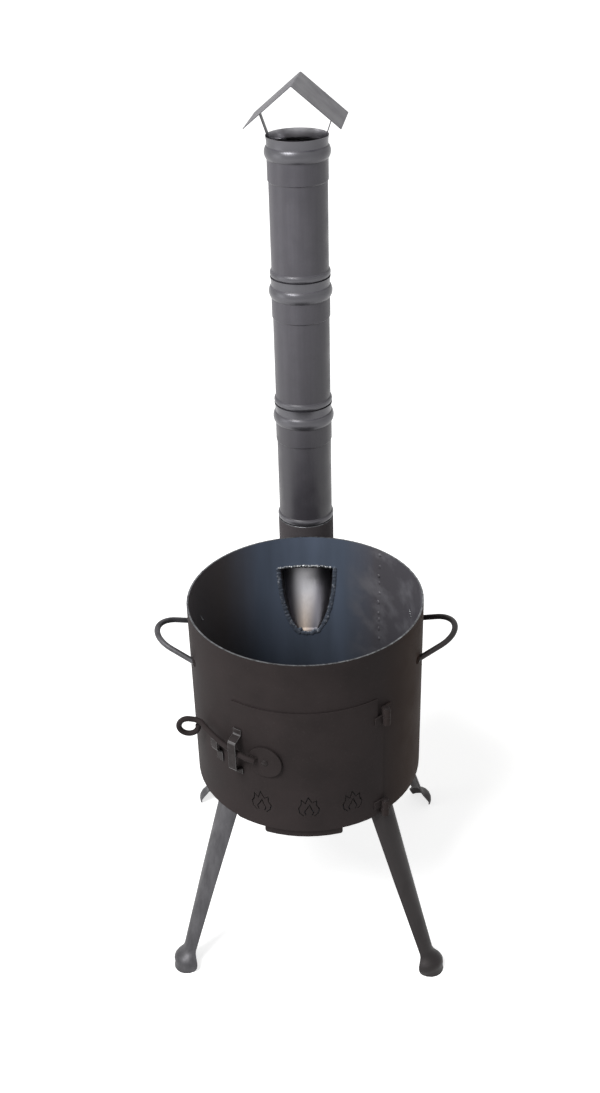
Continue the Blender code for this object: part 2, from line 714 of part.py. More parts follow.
def add_handle(side, sign):
    """A bow of rod, coped to the drum where its ends are welded."""
    bow = Vector((HANDLE_REACH - HANDLE_BOW_RADIUS, 0))
    root = Vector((BORE_RADIUS * 0.9, HANDLE_SPREAD / 2))
    offset = root - bow
    lean = math.degrees(math.atan2(offset.y, offset.x) - math.acos(HANDLE_BOW_RADIUS / offset.length))
    plan = [tuple(root)] + [tuple(p) for p in arc_points(bow, HANDLE_BOW_RADIUS, lean, -lean, 9)]
    plan.append((root.x, -root.y))
    slope = (HANDLE_ROOT_DROP - HANDLE_TIP_DROP) / (HANDLE_REACH - DRUM_RADIUS)
    path = [(sign * x, y, RIM_Z - HANDLE_TIP_DROP - slope * (HANDLE_REACH - x)) for x, y in plan]
    piece = add_piece("handle_" + side, rod(path, ROD_RADIUS), rolled_steel(), "stove")
    inside = cylinder(DRUM_RADIUS + GAP, FLOOR_Z, RIM_Z, DRUM_SIDES)
    boolean(piece, add_tool("handle_cope_" + side, inside), "DIFFERENCE")


def leg_point(height):
    """The middle of a leg's chord at a height, as (distance from the drum's axis, height)."""
    return Vector((LEG_GROUND_REACH + (LEG_TOP_REACH - LEG_GROUND_REACH) * height / FLOOR_Z, height))


def leg_shape(height):
    """Width across a leg and its arch at a height: a taper to the neck, then the flare of the foot."""
    if height >= FOOT_HEIGHT:
        share = (height - FOOT_HEIGHT) / (FLOOR_Z - FOOT_HEIGHT)
        return LEG_NECK_WIDTH + (LEG_TOP_WIDTH - LEG_NECK_WIDTH) * share, LEG_ARCH
    down = min(1.0, (FOOT_HEIGHT - height) / FOOT_HEIGHT)
    swell = min(1.0, down / FOOT_SHOULDER)
    flare = swell * swell * (3 - 2 * swell)
    tuck = FOOT_TUCK * max(0.0, (down - FOOT_SHOULDER) / (1 - FOOT_SHOULDER)) ** 2
    return (LEG_NECK_WIDTH + (FOOT_WIDTH - LEG_NECK_WIDTH) * (flare - tuck),
            LEG_ARCH + (FOOT_ARCH - LEG_ARCH) * flare)


def leg_section(height, top_azimuth):
    """One band across the leg, bowed outwards in an arc, square to the leg's own slope."""
    azimuth = top_azimuth + LEG_LEAN * (1 - height / FLOOR_Z)
    width, arch = leg_shape(height)
    sag = arch * width
    bow = (width * width / 4 + sag * sag) / (2 * sag)
    half_angle = 2 * math.atan(2 * arch)
    top, ground = leg_point(FLOOR_Z), leg_point(0.0)
    dip = math.atan2(top.y - ground.y, ground.x - top.x)
    normal = Vector((math.sin(dip), math.cos(dip)))
    section = []
    for radius, order in ((bow + LEG_THICKNESS / 2, 1), (bow - LEG_THICKNESS / 2, -1)):
        for i in range(9)[::order]:
            angle = half_angle * (i / 4 - 1)
            point = leg_point(height) + normal * (radius * math.cos(angle) - bow + sag)
            section.append(on_ring(point.x, azimuth, point.y)
                           + rightward(azimuth) * radius * math.sin(angle))
    return section


def add_leg(corner, azimuth):
    """A leg cut level under the floor and on the ground, where the foot's edge stands."""
    spare = FOOT_WIDTH / 2
    heights = [FLOOR_Z + spare, (FLOOR_Z + FOOT_HEIGHT) / 2]
    heights += [FOOT_HEIGHT * (1 - i / 8) for i in range(9)] + [-spare]
    bm = lofted([leg_section(height, azimuth) for height in heights])
    for height, facing in ((FLOOR_Z - GAP, 1), (0.0, -1)):
        cut = bmesh.ops.bisect_plane(bm, geom=bm.verts[:] + bm.edges[:] + bm.faces[:], dist=1e-6,
                                     plane_co=(0, 0, height), plane_no=(0, 0, facing), clear_outer=True)
        edges = [e for e in cut["geom_cut"] if isinstance(e, bmesh.types.BMEdge)]
        bmesh.ops.contextual_create(bm, geom=edges)
    add_piece("leg_" + corner, bm, rolled_steel(), "stove")


# Flue scoop and collar


def scoop_section(share, margin, front):
    """One level of the scoop: straight cheeks from the drum, closed by half an ellipse behind."""
    half = flue_half_width(share) + margin
    depth = 1.0 - share
    middle = DRUM_RADIUS + (FLUE_Y - DRUM_RADIUS) * depth
    back = COLLAR_RADIUS * depth - FLUE_WALL + margin
    height = FLUE_TOP_Z - share * FLUE_HEIGHT
    points = [Vector((-half, front, height))]
    for i in range(13):
        angle = math.radians(180 - 15 * i)
        points.append(Vector((half * math.cos(angle), middle + back * math.sin(angle), height)))
    return points + [Vector((half, front, height))]


def scoop_body(margin, top, bottom, front):
    """The scoop's outer or inner form as one solid, from its foot up to a flat top."""
    sections = [scoop_section(share, margin, front) for share in flue_shares()]
    for point in sections[0]:
        point.z = top
    for point in sections[-1]:
        point.z = bottom
    return lofted(sections)


def add_flue_scoop():
    foot = FLUE_TOP_Z - FLUE_CLOSING * FLUE_HEIGHT
    front = DRUM_RADIUS - 0.030
    body = scoop_body(FLUE_WALL, FLUE_TOP_Z, foot - FLUE_WALL, front)
    piece = add_piece("flue_scoop", body, heat_paint(), "stove")
    hollow = scoop_body(0.0, FLUE_TOP_Z - FLUE_WALL, foot, front - 0.010)
    boolean(piece, add_tool("scoop_hollow", hollow), "DIFFERENCE")
    throat = cylinder(SOCKET_BORE, FLUE_TOP_Z - 2 * FLUE_WALL, FLUE_TOP_Z + FLUE_WALL, PIPE_SIDES, (0, FLUE_Y))
    boolean(piece, add_tool("scoop_throat", throat), "DIFFERENCE")
    drum = cylinder(DRUM_RADIUS + GAP, FLOOR_Z, RIM_Z, DRUM_SIDES)
    boolean(piece, add_tool("scoop_drum", drum), "DIFFERENCE")


def add_flue_collar():
    bottom = FLUE_TOP_Z + GAP
    collar = turned([(COLLAR_RADIUS, COLLAR_TOP_Z), (COLLAR_RADIUS, bottom),
                     (SOCKET_BORE, bottom), (SOCKET_BORE, COLLAR_TOP_Z)], PIPE_SIDES, (0, FLUE_Y))
    add_piece("flue_collar", collar, heat_paint(), "stove")


# Chimney sections


def bead(bottom, length, base, height, steps):
    """A rolled bead's side view going up: a half wave on a wall of radius base."""
    return [(base + height * math.sin(math.pi * i / steps), bottom + length * i / steps)
            for i in range(1, steps)]


def section_wall(seat_z, inset):
    """The pipe wall's side view going up, moved in by inset, from the spigot to the mouth."""
    pipe, socket = PIPE_RADIUS - inset, SOCKET_RADIUS - inset
    mouth = seat_z + SECTION_PITCH
    wall = [(pipe, seat_z - INSERT_DEPTH), (pipe, seat_z + GAP)]
    wall += bead(seat_z + GAP, STOP_BEAD_LENGTH, pipe, STOP_BEAD_HEIGHT, 4)
    wall += [(pipe, seat_z + GAP + STOP_BEAD_LENGTH), (pipe, mouth - SOCKET_DEPTH - SOCKET_STEP),
             (socket, mouth - SOCKET_DEPTH), (socket, mouth - BEAD_TOP - BEAD_LENGTH)]
    wall += bead(mouth - BEAD_TOP - BEAD_LENGTH, BEAD_LENGTH, socket, BEAD_HEIGHT, 6)
    wall += [(socket, mouth - BEAD_TOP), (socket, mouth - LIP_LENGTH), (socket + LIP_FLARE, mouth)]
    return wall


def add_chimney_section(number):
    seat_z = COLLAR_TOP_Z + (number - 1) * SECTION_PITCH
    profile = section_wall(seat_z, 0.0) + section_wall(seat_z, PIPE_WALL)[::-1]
    add_piece("chimney_section_%d" % number, turned(profile[::-1], PIPE_SIDES, (0, FLUE_Y)),
              grey_pipe_enamel(), "section_seat_%d" % number)


# Rain cap


def cap_axes():
    across = Vector((math.cos(math.radians(CAP_YAW)), math.sin(math.radians(CAP_YAW)), 0))
    return across, Vector((0, 0, 1))


def cap_height(distance):
    """Height of the roof sheet's middle at a distance from its ridge."""
    ridge = CHIMNEY_TOP_Z + CAP_EAVES_STAND + CAP_RISE
    return ridge - CAP_RISE * abs(distance) / CAP_HALF_WIDTH


def add_rain_cap():
    bend = 0.004
    path = [(-CAP_HALF_WIDTH, cap_height(CAP_HALF_WIDTH)), (-bend, cap_height(bend)),
            (0, cap_height(bend / 2)), (bend, cap_height(bend)), (CAP_HALF_WIDTH, cap_height(CAP_HALF_WIDTH))]
    roof = placed(sheet([ribbon(path, CAP_THICKNESS)], CAP_LENGTH), (0, FLUE_Y, 0), *cap_axes())
    add_piece("rain_cap", roof, grey_pipe_enamel(), "cap_seat")


def add_cap_strap(side, sign):
    """A sprung strap: down inside the mouth, leaning out to the roof, and a tab under the sheet."""
    slope = math.atan2(CAP_RISE, CAP_HALF_WIDTH)
    inside = SOCKET_BORE - GAP - CAP_STRAP_THICKNESS
    shoulder = inside + CAP_STRAP_LEAN
    under = (CAP_THICKNESS / 2 + CAP_STRAP_THICKNESS / 2 + GAP) / math.cos(slope)
    top = cap_height(shoulder) - under
    tab = shoulder - CAP_STRAP_TAB * math.cos(slope)
    path = [(inside, CHIMNEY_TOP_Z - CAP_STRAP_DEPTH), (inside, CHIMNEY_TOP_Z), (shoulder, top),
            (tab, cap_height(tab) - under)]
    strap = sheet([ribbon([(sign * x, z) for x, z in path], CAP_STRAP_THICKNESS)], CAP_STRAP_WIDTH)
    placed(strap, (0, FLUE_Y, 0), *cap_axes())
    add_piece("cap_strap_" + side, strap, grey_pipe_enamel(), "cap_seat")


# Grate


def grate_slots():
    """Straight slots in two rows, each as long as the round rim leaves room for."""
    pitch = 2 * (GRATE_RADIUS - GRATE_RIM) / GRATE_SLOTS
    slots = []
    for i in range(GRATE_SLOTS):
        x = (i - (GRATE_SLOTS - 1) / 2) * pitch
        corner = abs(x) + GRATE_SLOT_WIDTH / 2
        far = math.sqrt(max((GRATE_RADIUS - GRATE_RIM) ** 2 - corner ** 2, 0.0))
        near = GRATE_SPINE / 2
        if far - near < 2 * GRATE_SLOT_WIDTH:
            continue
        half = GRATE_SLOT_WIDTH / 2
        for low, high in ((near, far), (-far, -near)):
            slots.append(arc_points((x, high - half), half, 0, 180, 3)
                         + arc_points((x, low + half), half, 180, 360, 3))
    return slots


def add_fire_grate():
    rim = [tuple(on_ring(GRATE_RADIUS, 7.5 * i).xy) for i in range(48)]
    plate = sheet([rim] + grate_slots(), GRATE_THICKNESS)
    plate.transform(Matrix.Translation((0, 0, GRATE_Z + GRATE_THICKNESS / 2)))
    add_piece("fire_grate", plate, cast_iron(), "grate_seat")


def add_grate_clip(number, azimuth):
    """An angle clip on the drum's wall that the grate rests on."""
    wall = BORE_RADIUS * math.cos(math.pi / DRUM_SIDES) - GAP - CLIP_THICKNESS / 2
    shelf = GRATE_Z - GAP - CLIP_THICKNESS / 2
    path = [(wall - 0.0006, shelf - CLIP_LEG), (wall - 0.0006, shelf), (wall - CLIP_REACH, shelf)]
    bm = sheet([ribbon(path, CLIP_THICKNESS)], CLIP_WIDTH)
    placed(bm, (0, 0, 0), outward(azimuth), (0, 0, 1))
    add_piece("grate_clip_%d" % number, bm, rolled_steel(), "stove")


# Assembly


def add_seats():
    """The stove's own empty and one on the axis of each joint."""
    seat("stove", (0, 0, 0))
    seat("door_hinge", on_ring(HINGE_RADIUS, DOOR_RIGHT, UPPER_HINGE_Z), "stove")
    seat("latch_pivot", on_ring(DISC_BACK_RADIUS, LATCH_AZIMUTH, LATCH_Z), "door_hinge")
    carrier = "stove"
    for number in range(1, SECTION_COUNT + 1):
        name = "section_seat_%d" % number
        seat(name, (0, FLUE_Y, COLLAR_TOP_Z + (number - 1) * SECTION_PITCH), carrier)
        carrier = name
    seat("cap_seat", (0, FLUE_Y, CHIMNEY_TOP_Z), carrier)
    seat("grate_seat", (0, 0, GRATE_Z), "stove")


def add_fixed_pieces():
    add_drum_shell()
    add_drum_floor()
    add_sill_strip()
    add_flue_scoop()
    add_flue_collar()
    add_handle("left", -1)
    add_handle("right", 1)
    for corner, azimuth in LEG_AZIMUTHS.items():
        add_leg(corner, azimuth)
    for number, azimuth in enumerate(CLIP_AZIMUTHS, 1):
        add_grate_clip(number, azimuth)


def add_moving_pieces():
    add_door_panel()
    add_hinge("upper", UPPER_HINGE_Z, True)
    add_hinge("lower", LOWER_HINGE_Z, False)
    add_latch_disc()
    add_latch_rod()
    add_latch_rivet()
    add_latch_staple()
    add_latch_catch()
    for number in range(1, SECTION_COUNT + 1):
        add_chimney_section(number)
    add_rain_cap()
    add_cap_strap("left", -1)
    add_cap_strap("right", 1)
    add_fire_grate()


def centre_on_the_ground():
    """Moves the whole stove so that the origin is on the ground under the middle of its outline."""
    bpy.context.view_layer.update()
    graph = bpy.context.evaluated_depsgraph_get()
    corners = []
    for piece in bpy.context.scene.objects:
        if piece.type == "MESH" and not piece.hide_render:
            shape = piece.evaluated_get(graph)
            corners += [shape.matrix_world @ vertex.co for vertex in shape.data.vertices]
    low = [min(corner[i] for corner in corners) for i in range(3)]
    high = [max(corner[i] for corner in corners) for i in range(3)]
    bpy.data.objects["stove"].location = (-(low[0] + high[0]) / 2, -(low[1] + high[1]) / 2, -low[2])


clear_scene()
add_seats()
add_fixed_pieces()
add_moving_pieces()
centre_on_the_ground()
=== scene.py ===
"""The looks of a kazan stove with a sectional chimney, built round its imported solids.

Metres, +Z up. The door faces -Y and the chimney stands at +Y. Azimuths are in degrees about the
drum's axis, from the front towards the right.
"""

import math
import random

import bmesh
import bpy
from mathutils import Matrix, Vector


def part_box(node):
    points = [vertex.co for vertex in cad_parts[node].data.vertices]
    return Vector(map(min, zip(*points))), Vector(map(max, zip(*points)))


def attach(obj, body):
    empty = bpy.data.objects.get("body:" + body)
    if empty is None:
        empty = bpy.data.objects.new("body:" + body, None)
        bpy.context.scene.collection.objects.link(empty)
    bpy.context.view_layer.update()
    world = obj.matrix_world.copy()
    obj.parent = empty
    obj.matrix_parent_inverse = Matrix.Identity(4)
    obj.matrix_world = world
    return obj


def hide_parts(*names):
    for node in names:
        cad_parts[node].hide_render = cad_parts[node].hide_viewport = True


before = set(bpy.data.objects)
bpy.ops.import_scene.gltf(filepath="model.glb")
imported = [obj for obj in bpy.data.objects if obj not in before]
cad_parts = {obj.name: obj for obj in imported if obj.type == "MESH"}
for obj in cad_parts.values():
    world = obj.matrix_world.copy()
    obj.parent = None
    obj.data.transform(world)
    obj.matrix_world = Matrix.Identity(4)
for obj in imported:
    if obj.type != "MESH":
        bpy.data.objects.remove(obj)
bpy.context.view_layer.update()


# Drum
# A 3 mm hot-rolled sheet rolled to a cylinder and butt welded. The outside has one coat of matte
# heat paint, sprayed thin. The inside is left as the mill made it, blue-grey scale with rubbed
# patches, and the sheared edges show grey steel.

drum_low, drum_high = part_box("drum_shell")
DRUM_AXIS = Vector((0.0, (drum_low.y + drum_high.y) / 2, 0.0))
DRUM_RADIUS = (drum_high.x - drum_low.x) / 2
DRUM_WALL = 0.003
FLOOR_Z, RIM_Z = drum_low.z, drum_high.z
# How squarely a face has to look away from the axis, or towards it, to count as the rolled wall
FACING = 0.9


def linear(code):
    """An sRGB hex colour as the linear red, green, blue and alpha of a shader socket."""
    parts = [int(code[i:i + 2], 16) / 255 for i in (1, 3, 5)]
    return [p / 12.92 if p <= 0.04045 else ((p + 0.055) / 1.055) ** 2.4 for p in parts] + [1.0]


def per_metre(millimetres):
    """The scale that gives a pattern this spacing on Object coordinates."""
    return 1000.0 / millimetres


def fill(node, sockets):
    """Fills sockets with values, hex colours, outputs, or other nodes' first live output."""
    for socket, value in sockets.items():
        if isinstance(value, str):
            value = linear(value)
        if isinstance(value, bpy.types.Node):
            value = next(output for output in value.outputs if output.enabled)
        if isinstance(value, bpy.types.NodeSocket):
            node.id_data.links.new(value, node.inputs[socket])
        else:
            node.inputs[socket].default_value = value


def add_node(tree, kind, sockets=None, **settings):
    """Adds a shader node of a kind with its settings, and fills its sockets.

    A colour mix has its factor in socket 0, and its two colours in sockets 6 and 7.
    """
    node = tree.nodes.new("ShaderNode" + kind)
    for name, value in settings.items():
        setattr(node, name, value)
    fill(node, sockets or {})
    return node


def new_finish(name, constants):
    """A material with its constants set on the shader, and the coordinates its patterns read."""
    finish = bpy.data.materials.new(name)
    finish.use_nodes = True
    tree = finish.node_tree
    shader = tree.nodes["Principled BSDF"]
    fill(shader, constants)
    return finish, tree, shader, add_node(tree, "TexCoord").outputs["Object"]


def ring_point(radius, azimuth, z=0.0):
    """A point at a distance from the drum's axis."""
    angle = math.radians(azimuth)
    return DRUM_AXIS + Vector((radius * math.sin(angle), -radius * math.cos(angle), z))


def merged_copy(node):
    """A CAD solid's loose triangles joined at their corners."""
    bm = bmesh.new()
    bm.from_mesh(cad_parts[node].data)
    bmesh.ops.remove_doubles(bm, verts=bm.verts, dist=1e-6)
    return bm


def new_piece(name, bm, body, finishes, replaces=()):
    """Turns a bmesh into a piece that rides on a CAD body and stands for CAD nodes."""
    mesh = bpy.data.meshes.new(name)
    bm.to_mesh(mesh)
    bm.free()
    for finish in finishes:
        mesh.materials.append(finish)
    piece = bpy.data.objects.new(name, mesh)
    bpy.context.collection.objects.link(piece)
    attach(piece, body)
    if replaces:
        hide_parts(*replaces)
    return piece


def face_the_axis(face):
    """How squarely a face looks away from the drum's axis, 1 outwards and -1 inwards."""
    ray = face.center - DRUM_AXIS
    ray.z = 0.0
    return face.normal.dot(ray.normalized())


def shade_as_cylinder(mesh):
    """Gives the faces round the drum's axis the normals of a true cylinder, the rest their own."""
    mesh.shade_smooth()
    normals = []
    for face in mesh.polygons:
        facing = face_the_axis(face)
        for loop in face.loop_indices:
            ray = mesh.vertices[mesh.loops[loop].vertex_index].co - DRUM_AXIS
            ray.z = 0.0
            across = ray.normalized() * math.copysign(1.0, facing)
            normals.append(across if abs(facing) > FACING else face.normal)
    mesh.normals_split_custom_set(normals)


# Matte silicone heat paint on scale: near black, cloudy where the coat is thin, and greyed by heat
# behind the drum, where the flue runs hottest. Down the right side it is painted browner and darker:
# painted shade, warmed as a painted reflection. A fine dry grain scatters all but the broadest highlight.
heat_paint, tree, shader, place = new_finish("matte_heat_paint", {"Specular IOR Level": 0.06})
cloud = add_node(tree, "TexNoise", {"Vector": place, "Scale": per_metre(85), "Detail": 5.0})
thin = add_node(tree, "MapRange", {"Value": cloud, "From Min": 0.35, "From Max": 0.68})
tint = add_node(tree, "Mix", {0: thin, 6: "#2e2929", 7: "#383232"}, data_type="RGBA")
speck = add_node(tree, "TexNoise", {"Vector": place, "Scale": per_metre(5), "Detail": 6.0})
dust = add_node(tree, "MapRange", {"Value": speck, "From Min": 0.60, "From Max": 0.80, "To Max": 0.25})
dusty = add_node(tree, "Mix", {0: dust, 6: tint, 7: "#484242"}, data_type="RGBA")
where = add_node(tree, "SeparateXYZ", {"Vector": place})
# Painted shade down the right side, warm-toned as a painted reflection
right_painted_shade = add_node(tree, "MapRange",
                  {"Value": where.outputs["X"], "From Min": 0.125, "From Max": 0.18, "To Max": 0.95})
with_right_painted_shade = add_node(tree, "Mix", {0: right_painted_shade, 6: dusty, 7: "#31251f"}, data_type="RGBA")
bleached = add_node(tree, "MapRange",
                    {"Value": where.outputs["Y"], "From Min": drum_high.y,
                     "From Max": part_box("flue_collar")[0].y})
colour = add_node(tree, "Mix", {0: bleached, 6: with_right_painted_shade, 7: "#4b4749"}, data_type="RGBA")
matte = add_node(tree, "MapRange",
                 {"Value": cloud, "From Min": 0.3, "From Max": 0.7, "To Min": 0.60, "To Max": 0.74})
# Paint grain is about 0.3 mm, drawn at 1.5 mm so that it shows
grain = add_node(tree, "TexNoise", {"Vector": place, "Scale": per_metre(1.5), "Detail": 3.0})
relief = add_node(tree, "Bump", {"Height": grain, "Strength": 0.35, "Distance": 0.0003})
fill(shader, {"Base Color": colour, "Roughness": matte, "Normal": relief})

# Mill scale: a thin hard oxide off the rolling mill, slate blue with a low sheen, faintly banded by
# the bending rolls. It is rubbed to grey patches on the right. On the left it is tinted brown as
# painted shade, and deep down it is painted darker as painted shade.
mill_scale, tree, shader, place = new_finish("blue_mill_scale", {"Specular IOR Level": 0.45})
upright = add_node(tree, "Mapping", {"Vector": place, "Scale": (1.0, 1.0, 0.12)})
band = add_node(tree, "TexNoise",
                {"Vector": upright, "Scale": per_metre(60), "Detail": 3.0, "Roughness": 0.5})
banding = add_node(tree, "MapRange", {"Value": band, "From Min": 0.30, "From Max": 0.70})
slate = add_node(tree, "Mix", {0: banding, 6: "#525b69", 7: "#646f82"}, data_type="RGBA")
where = add_node(tree, "SeparateXYZ", {"Vector": place})
left_side = add_node(tree, "MapRange", {"Value": where.outputs["X"], "From Min": -0.09, "From Max": -0.16})
right_side = add_node(tree, "MapRange", {"Value": where.outputs["X"], "From Min": 0.07, "From Max": 0.13})
# Painted shade: a brown tint on the left side
painted_side_shade = add_node(tree, "Mix", {0: left_side, 6: slate, 7: "#5f5959"}, data_type="RGBA")
greyed = add_node(tree, "Mix", {0: right_side, 6: painted_side_shade, 7: "#555358"}, data_type="RGBA")
rub = add_node(tree, "TexNoise",
               {"Vector": place, "Scale": per_metre(55), "Detail": 6.0, "Roughness": 0.56})
rubbed = add_node(tree, "MapRange", {"Value": rub, "From Min": 0.46, "From Max": 0.66})
worn = add_node(tree, "Math", {0: rubbed, 1: right_side}, operation="MULTIPLY")
patched = add_node(tree, "Mix", {0: worn, 6: greyed, 7: "#727176"}, data_type="RGBA")
# Painted shade: darker deep down in the drum
deep_painted_shade = add_node(tree, "MapRange",
                {"Value": where.outputs["Z"], "From Min": 0.56, "From Max": 0.38, "To Max": 0.60})
colour = add_node(tree, "Mix", {0: deep_painted_shade, 6: patched, 7: "#23272e"}, data_type="RGBA")
sheen = add_node(tree, "MapRange",
                 {"Value": band, "From Min": 0.3, "From Max": 0.7, "To Min": 0.38, "To Max": 0.50})
ripple = add_node(tree, "Bump", {"Height": rub, "Strength": 0.15, "Distance": 0.0006})
fill(shader, {"Base Color": colour, "Roughness": sheen, "Normal": ripple})

# Sheared steel edge: bare grey metal with fine drag marks, dulled by handling.
sheared_edge, tree, shader, place = new_finish("sheared_steel_edge", {"Metallic": 0.8, "Roughness": 0.46})
drag = add_node(tree, "TexNoise", {"Vector": place, "Scale": per_metre(6), "Detail": 5.0})
bright = add_node(tree, "MapRange", {"Value": drag, "From Min": 0.35, "From Max": 0.7})
colour = add_node(tree, "Mix", {0: bright, 6: "#4b4b4d", 7: "#85878a"}, data_type="RGBA")
fill(shader, {"Base Color": colour})

# The hole for the flue is flat on top, and draws in along an arch to a narrow foot
FLUE_TOP_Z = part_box("flue_scoop")[1].z
FLUE_HEIGHT = 0.159
FLUE_HALF_WIDTH = 0.051
FLUE_CLOSING = 0.965
SOLID_FULLNESS, ARCH_FULLNESS = 1.5, 1.9
ARCH_MARGIN = 1.1


def arch_width(share, fullness=ARCH_FULLNESS):
    """Half the arch's width at a share of its height, counted down from the top."""
    return FLUE_HALF_WIDTH * math.sqrt(1 - share ** fullness)


def rear_wall(x, z, radius=DRUM_RADIUS - DRUM_WALL):
    """The point of the rear wall's surface at a distance right of the middle."""
    return Vector((x, DRUM_AXIS.y + math.sqrt(radius ** 2 - x ** 2), z))


def bow_arch_out(bm):
    """Bows the arch out a little further than the solids do, along the curve of the wall."""
    for vert in bm.verts:
        x, y, z = vert.co
        share = (FLUE_TOP_Z - z) / FLUE_HEIGHT
        if y > DRUM_AXIS.y and abs(x) < ARCH_MARGIN * FLUE_HALF_WIDTH and 0 < share < ARCH_MARGIN:
            share = min(share, FLUE_CLOSING)
            wider = x * arch_width(share) / arch_width(share, SOLID_FULLNESS)
            vert.co = (wider, y + rear_wall(wider, z).y - rear_wall(x, z).y, z)
    return bm


drum = new_piece("drum_wall", bow_arch_out(merged_copy("drum_shell")), "stove",
                 [heat_paint, mill_scale, sheared_edge], ["drum_shell"])
for face in drum.data.polygons:
    facing = face_the_axis(face)
    face.material_index = 0 if facing > FACING else 1 if facing < -FACING else 2
shade_as_cylinder(drum.data)


# Drum floor and sill strip
# The floor is a sheet disc welded in flush with the drum's lower edge. The sill is a curved tab of
# the same sheet, tacked under the door so that embers fall clear of it.

floor_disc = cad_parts["drum_floor"]
floor_disc.data.materials.clear()
floor_disc.data.materials.append(mill_scale)

SHEARED_EDGE_WIDTH = 0.0004


def soften_edges(piece, width, limit=40.0, finish=-1):
    """Rounds the edges that a tool or a shear leaves sharp, and may give them their own finish."""
    bevel = piece.modifiers.new("soft_edges", "BEVEL")
    bevel.width = width
    bevel.segments = 2
    bevel.limit_method = "ANGLE"
    bevel.angle_limit = math.radians(limit)
    bevel.harden_normals = True
    bevel.material = finish


def smooth_by_angle(piece, degrees):
    """Shades a piece smooth, apart from the corners that turn by more than this."""
    piece.data.shade_smooth()
    piece.data.set_sharp_from_angle(angle=math.radians(degrees))


sill = new_piece("sill_tab", merged_copy("sill_strip"), "stove", [heat_paint],
                 ["sill_strip"])
smooth_by_angle(sill, 30)
soften_edges(sill, SHEARED_EDGE_WIDTH)


# Flue scoop
# A sheet pressed to a half funnel and welded over the arched hole in the rear wall. Its inside is
# bare and bright, straw coloured at the foot where the weld's heat ran, and its outside is painted.

# Bare cold-formed steel: drawn lines run up and down it, with a straw tint at the foot. Its sides,
# more on the right, its top and its lower part are painted dark as painted shade and reflection,
# which leaves a painted highlight down the middle.
PAINTED_SHADE_SKEW = 0.008
PAINTED_SHADE_TAPER = 0.16
steel_with_painted_shade, tree, shader, place = new_finish("bare_steel_heat_tint_painted_shade", {"Metallic": 1.0})
drawn = add_node(tree, "Mapping", {"Vector": place, "Scale": (1.0, 1.0, 0.05)})
line = add_node(tree, "TexNoise", {"Vector": drawn, "Scale": per_metre(5), "Detail": 4.0, "Roughness": 0.6})
where = add_node(tree, "SeparateXYZ", {"Vector": place})
heat = add_node(tree, "MapRange",
                {"Value": where.outputs["Z"], "From Min": FLUE_TOP_Z - 0.150,
                 "From Max": FLUE_TOP_Z - 0.085, "To Min": 0.60, "To Max": 0.0})
steel = add_node(tree, "Mix", {0: line, 6: "#b4b3b7", 7: "#d8d7da"}, data_type="RGBA")
straw = add_node(tree, "Mix", {0: heat, 6: steel, 7: "#b5966c"}, data_type="RGBA")
# Painted shade and reflection: dark towards the sides, more so on the right and towards the foot, and under
# the top, leaving a painted highlight a little left of the middle
skewed = add_node(tree, "Math", {0: where.outputs["X"], 1: PAINTED_SHADE_SKEW}, operation="ADD")
sideways = add_node(tree, "Math", {0: skewed}, operation="ABSOLUTE")
down = add_node(tree, "Math",
                {0: where.outputs["Z"], 1: -PAINTED_SHADE_TAPER, 2: PAINTED_SHADE_TAPER * FLUE_TOP_Z},
                operation="MULTIPLY_ADD")
reach = add_node(tree, "Math", {0: sideways, 1: down}, operation="ADD")
near_edge = add_node(tree, "MapRange",
                     {"Value": reach, "From Min": 0.010, "From Max": 0.046},
                     interpolation_type="SMOOTHSTEP")
near_top = add_node(tree, "MapRange",
                    {"Value": where.outputs["Z"], "From Min": FLUE_TOP_Z - 0.038,
                     "From Max": FLUE_TOP_Z - 0.004, "To Max": 0.8})
oxide_and_painted_shade = add_node(tree, "Math", {0: near_edge, 1: near_top}, operation="MAXIMUM")
colour = add_node(tree, "Mix", {0: oxide_and_painted_shade, 6: straw, 7: "#5a595e"}, data_type="RGBA")
gloss = add_node(tree, "MapRange",
                 {"Value": line, "From Min": 0.3, "From Max": 0.7, "To Min": 0.34, "To Max": 0.46})
fill(shader, {"Base Color": colour, "Roughness": gloss})

scoop = new_piece("flue_pocket", bow_arch_out(merged_copy("flue_scoop")), "stove",
                  [heat_paint, steel_with_painted_shade], ["flue_scoop"])
smooth_by_angle(scoop, 40)
# A point in the pocket's mouth, which only the faces of its inside look towards
MOUTH_REACH, MOUTH_DROP = 0.008, 0.020
mouth = ring_point(DRUM_RADIUS + MOUTH_REACH, 180.0, FLUE_TOP_Z - MOUTH_DROP)
for face in scoop.data.polygons:
    face.material_index = 1 if face.normal.dot(mouth - face.center) > 0 else 0


# Weld beads
# Every joint of the stove is welded by hand with a stick electrode: short overlapping ripples,
# silver where the slag was knocked off and blue-black where it wasn't.

# Weld metal: rough and bright, with dark oxide in its hollows.
weld_metal, tree, shader, place = new_finish("stick_weld_metal", {"Metallic": 0.9})
slag = add_node(tree, "TexNoise", {"Vector": place, "Scale": per_metre(4), "Detail": 6.0})
clean = add_node(tree, "MapRange", {"Value": slag, "From Min": 0.40, "From Max": 0.62})
colour = add_node(tree, "Mix", {0: clean, 6: "#4c4f54", 7: "#b4b6b8"}, data_type="RGBA")
rough = add_node(tree, "MapRange", {"Value": slag, "To Min": 0.50, "To Max": 0.28})
fill(shader, {"Base Color": colour, "Roughness": rough})

# Weld left under its slag and heat scale: dull slate with a few bright flecks.
scaled_weld, tree, shader, place = new_finish("weld_under_scale",
                                              {"Metallic": 0.2, "Specular IOR Level": 0.45})
slag = add_node(tree, "TexNoise", {"Vector": place, "Scale": per_metre(7), "Detail": 6.0})
fleck = add_node(tree, "MapRange", {"Value": slag, "From Min": 0.55, "From Max": 0.68})
colour = add_node(tree, "Mix", {0: fleck, 6: "#545b67", 7: "#989da6"}, data_type="RGBA")
rough = add_node(tree, "MapRange", {"Value": slag, "To Min": 0.38, "To Max": 0.60})
fill(shader, {"Base Color": colour, "Roughness": rough})

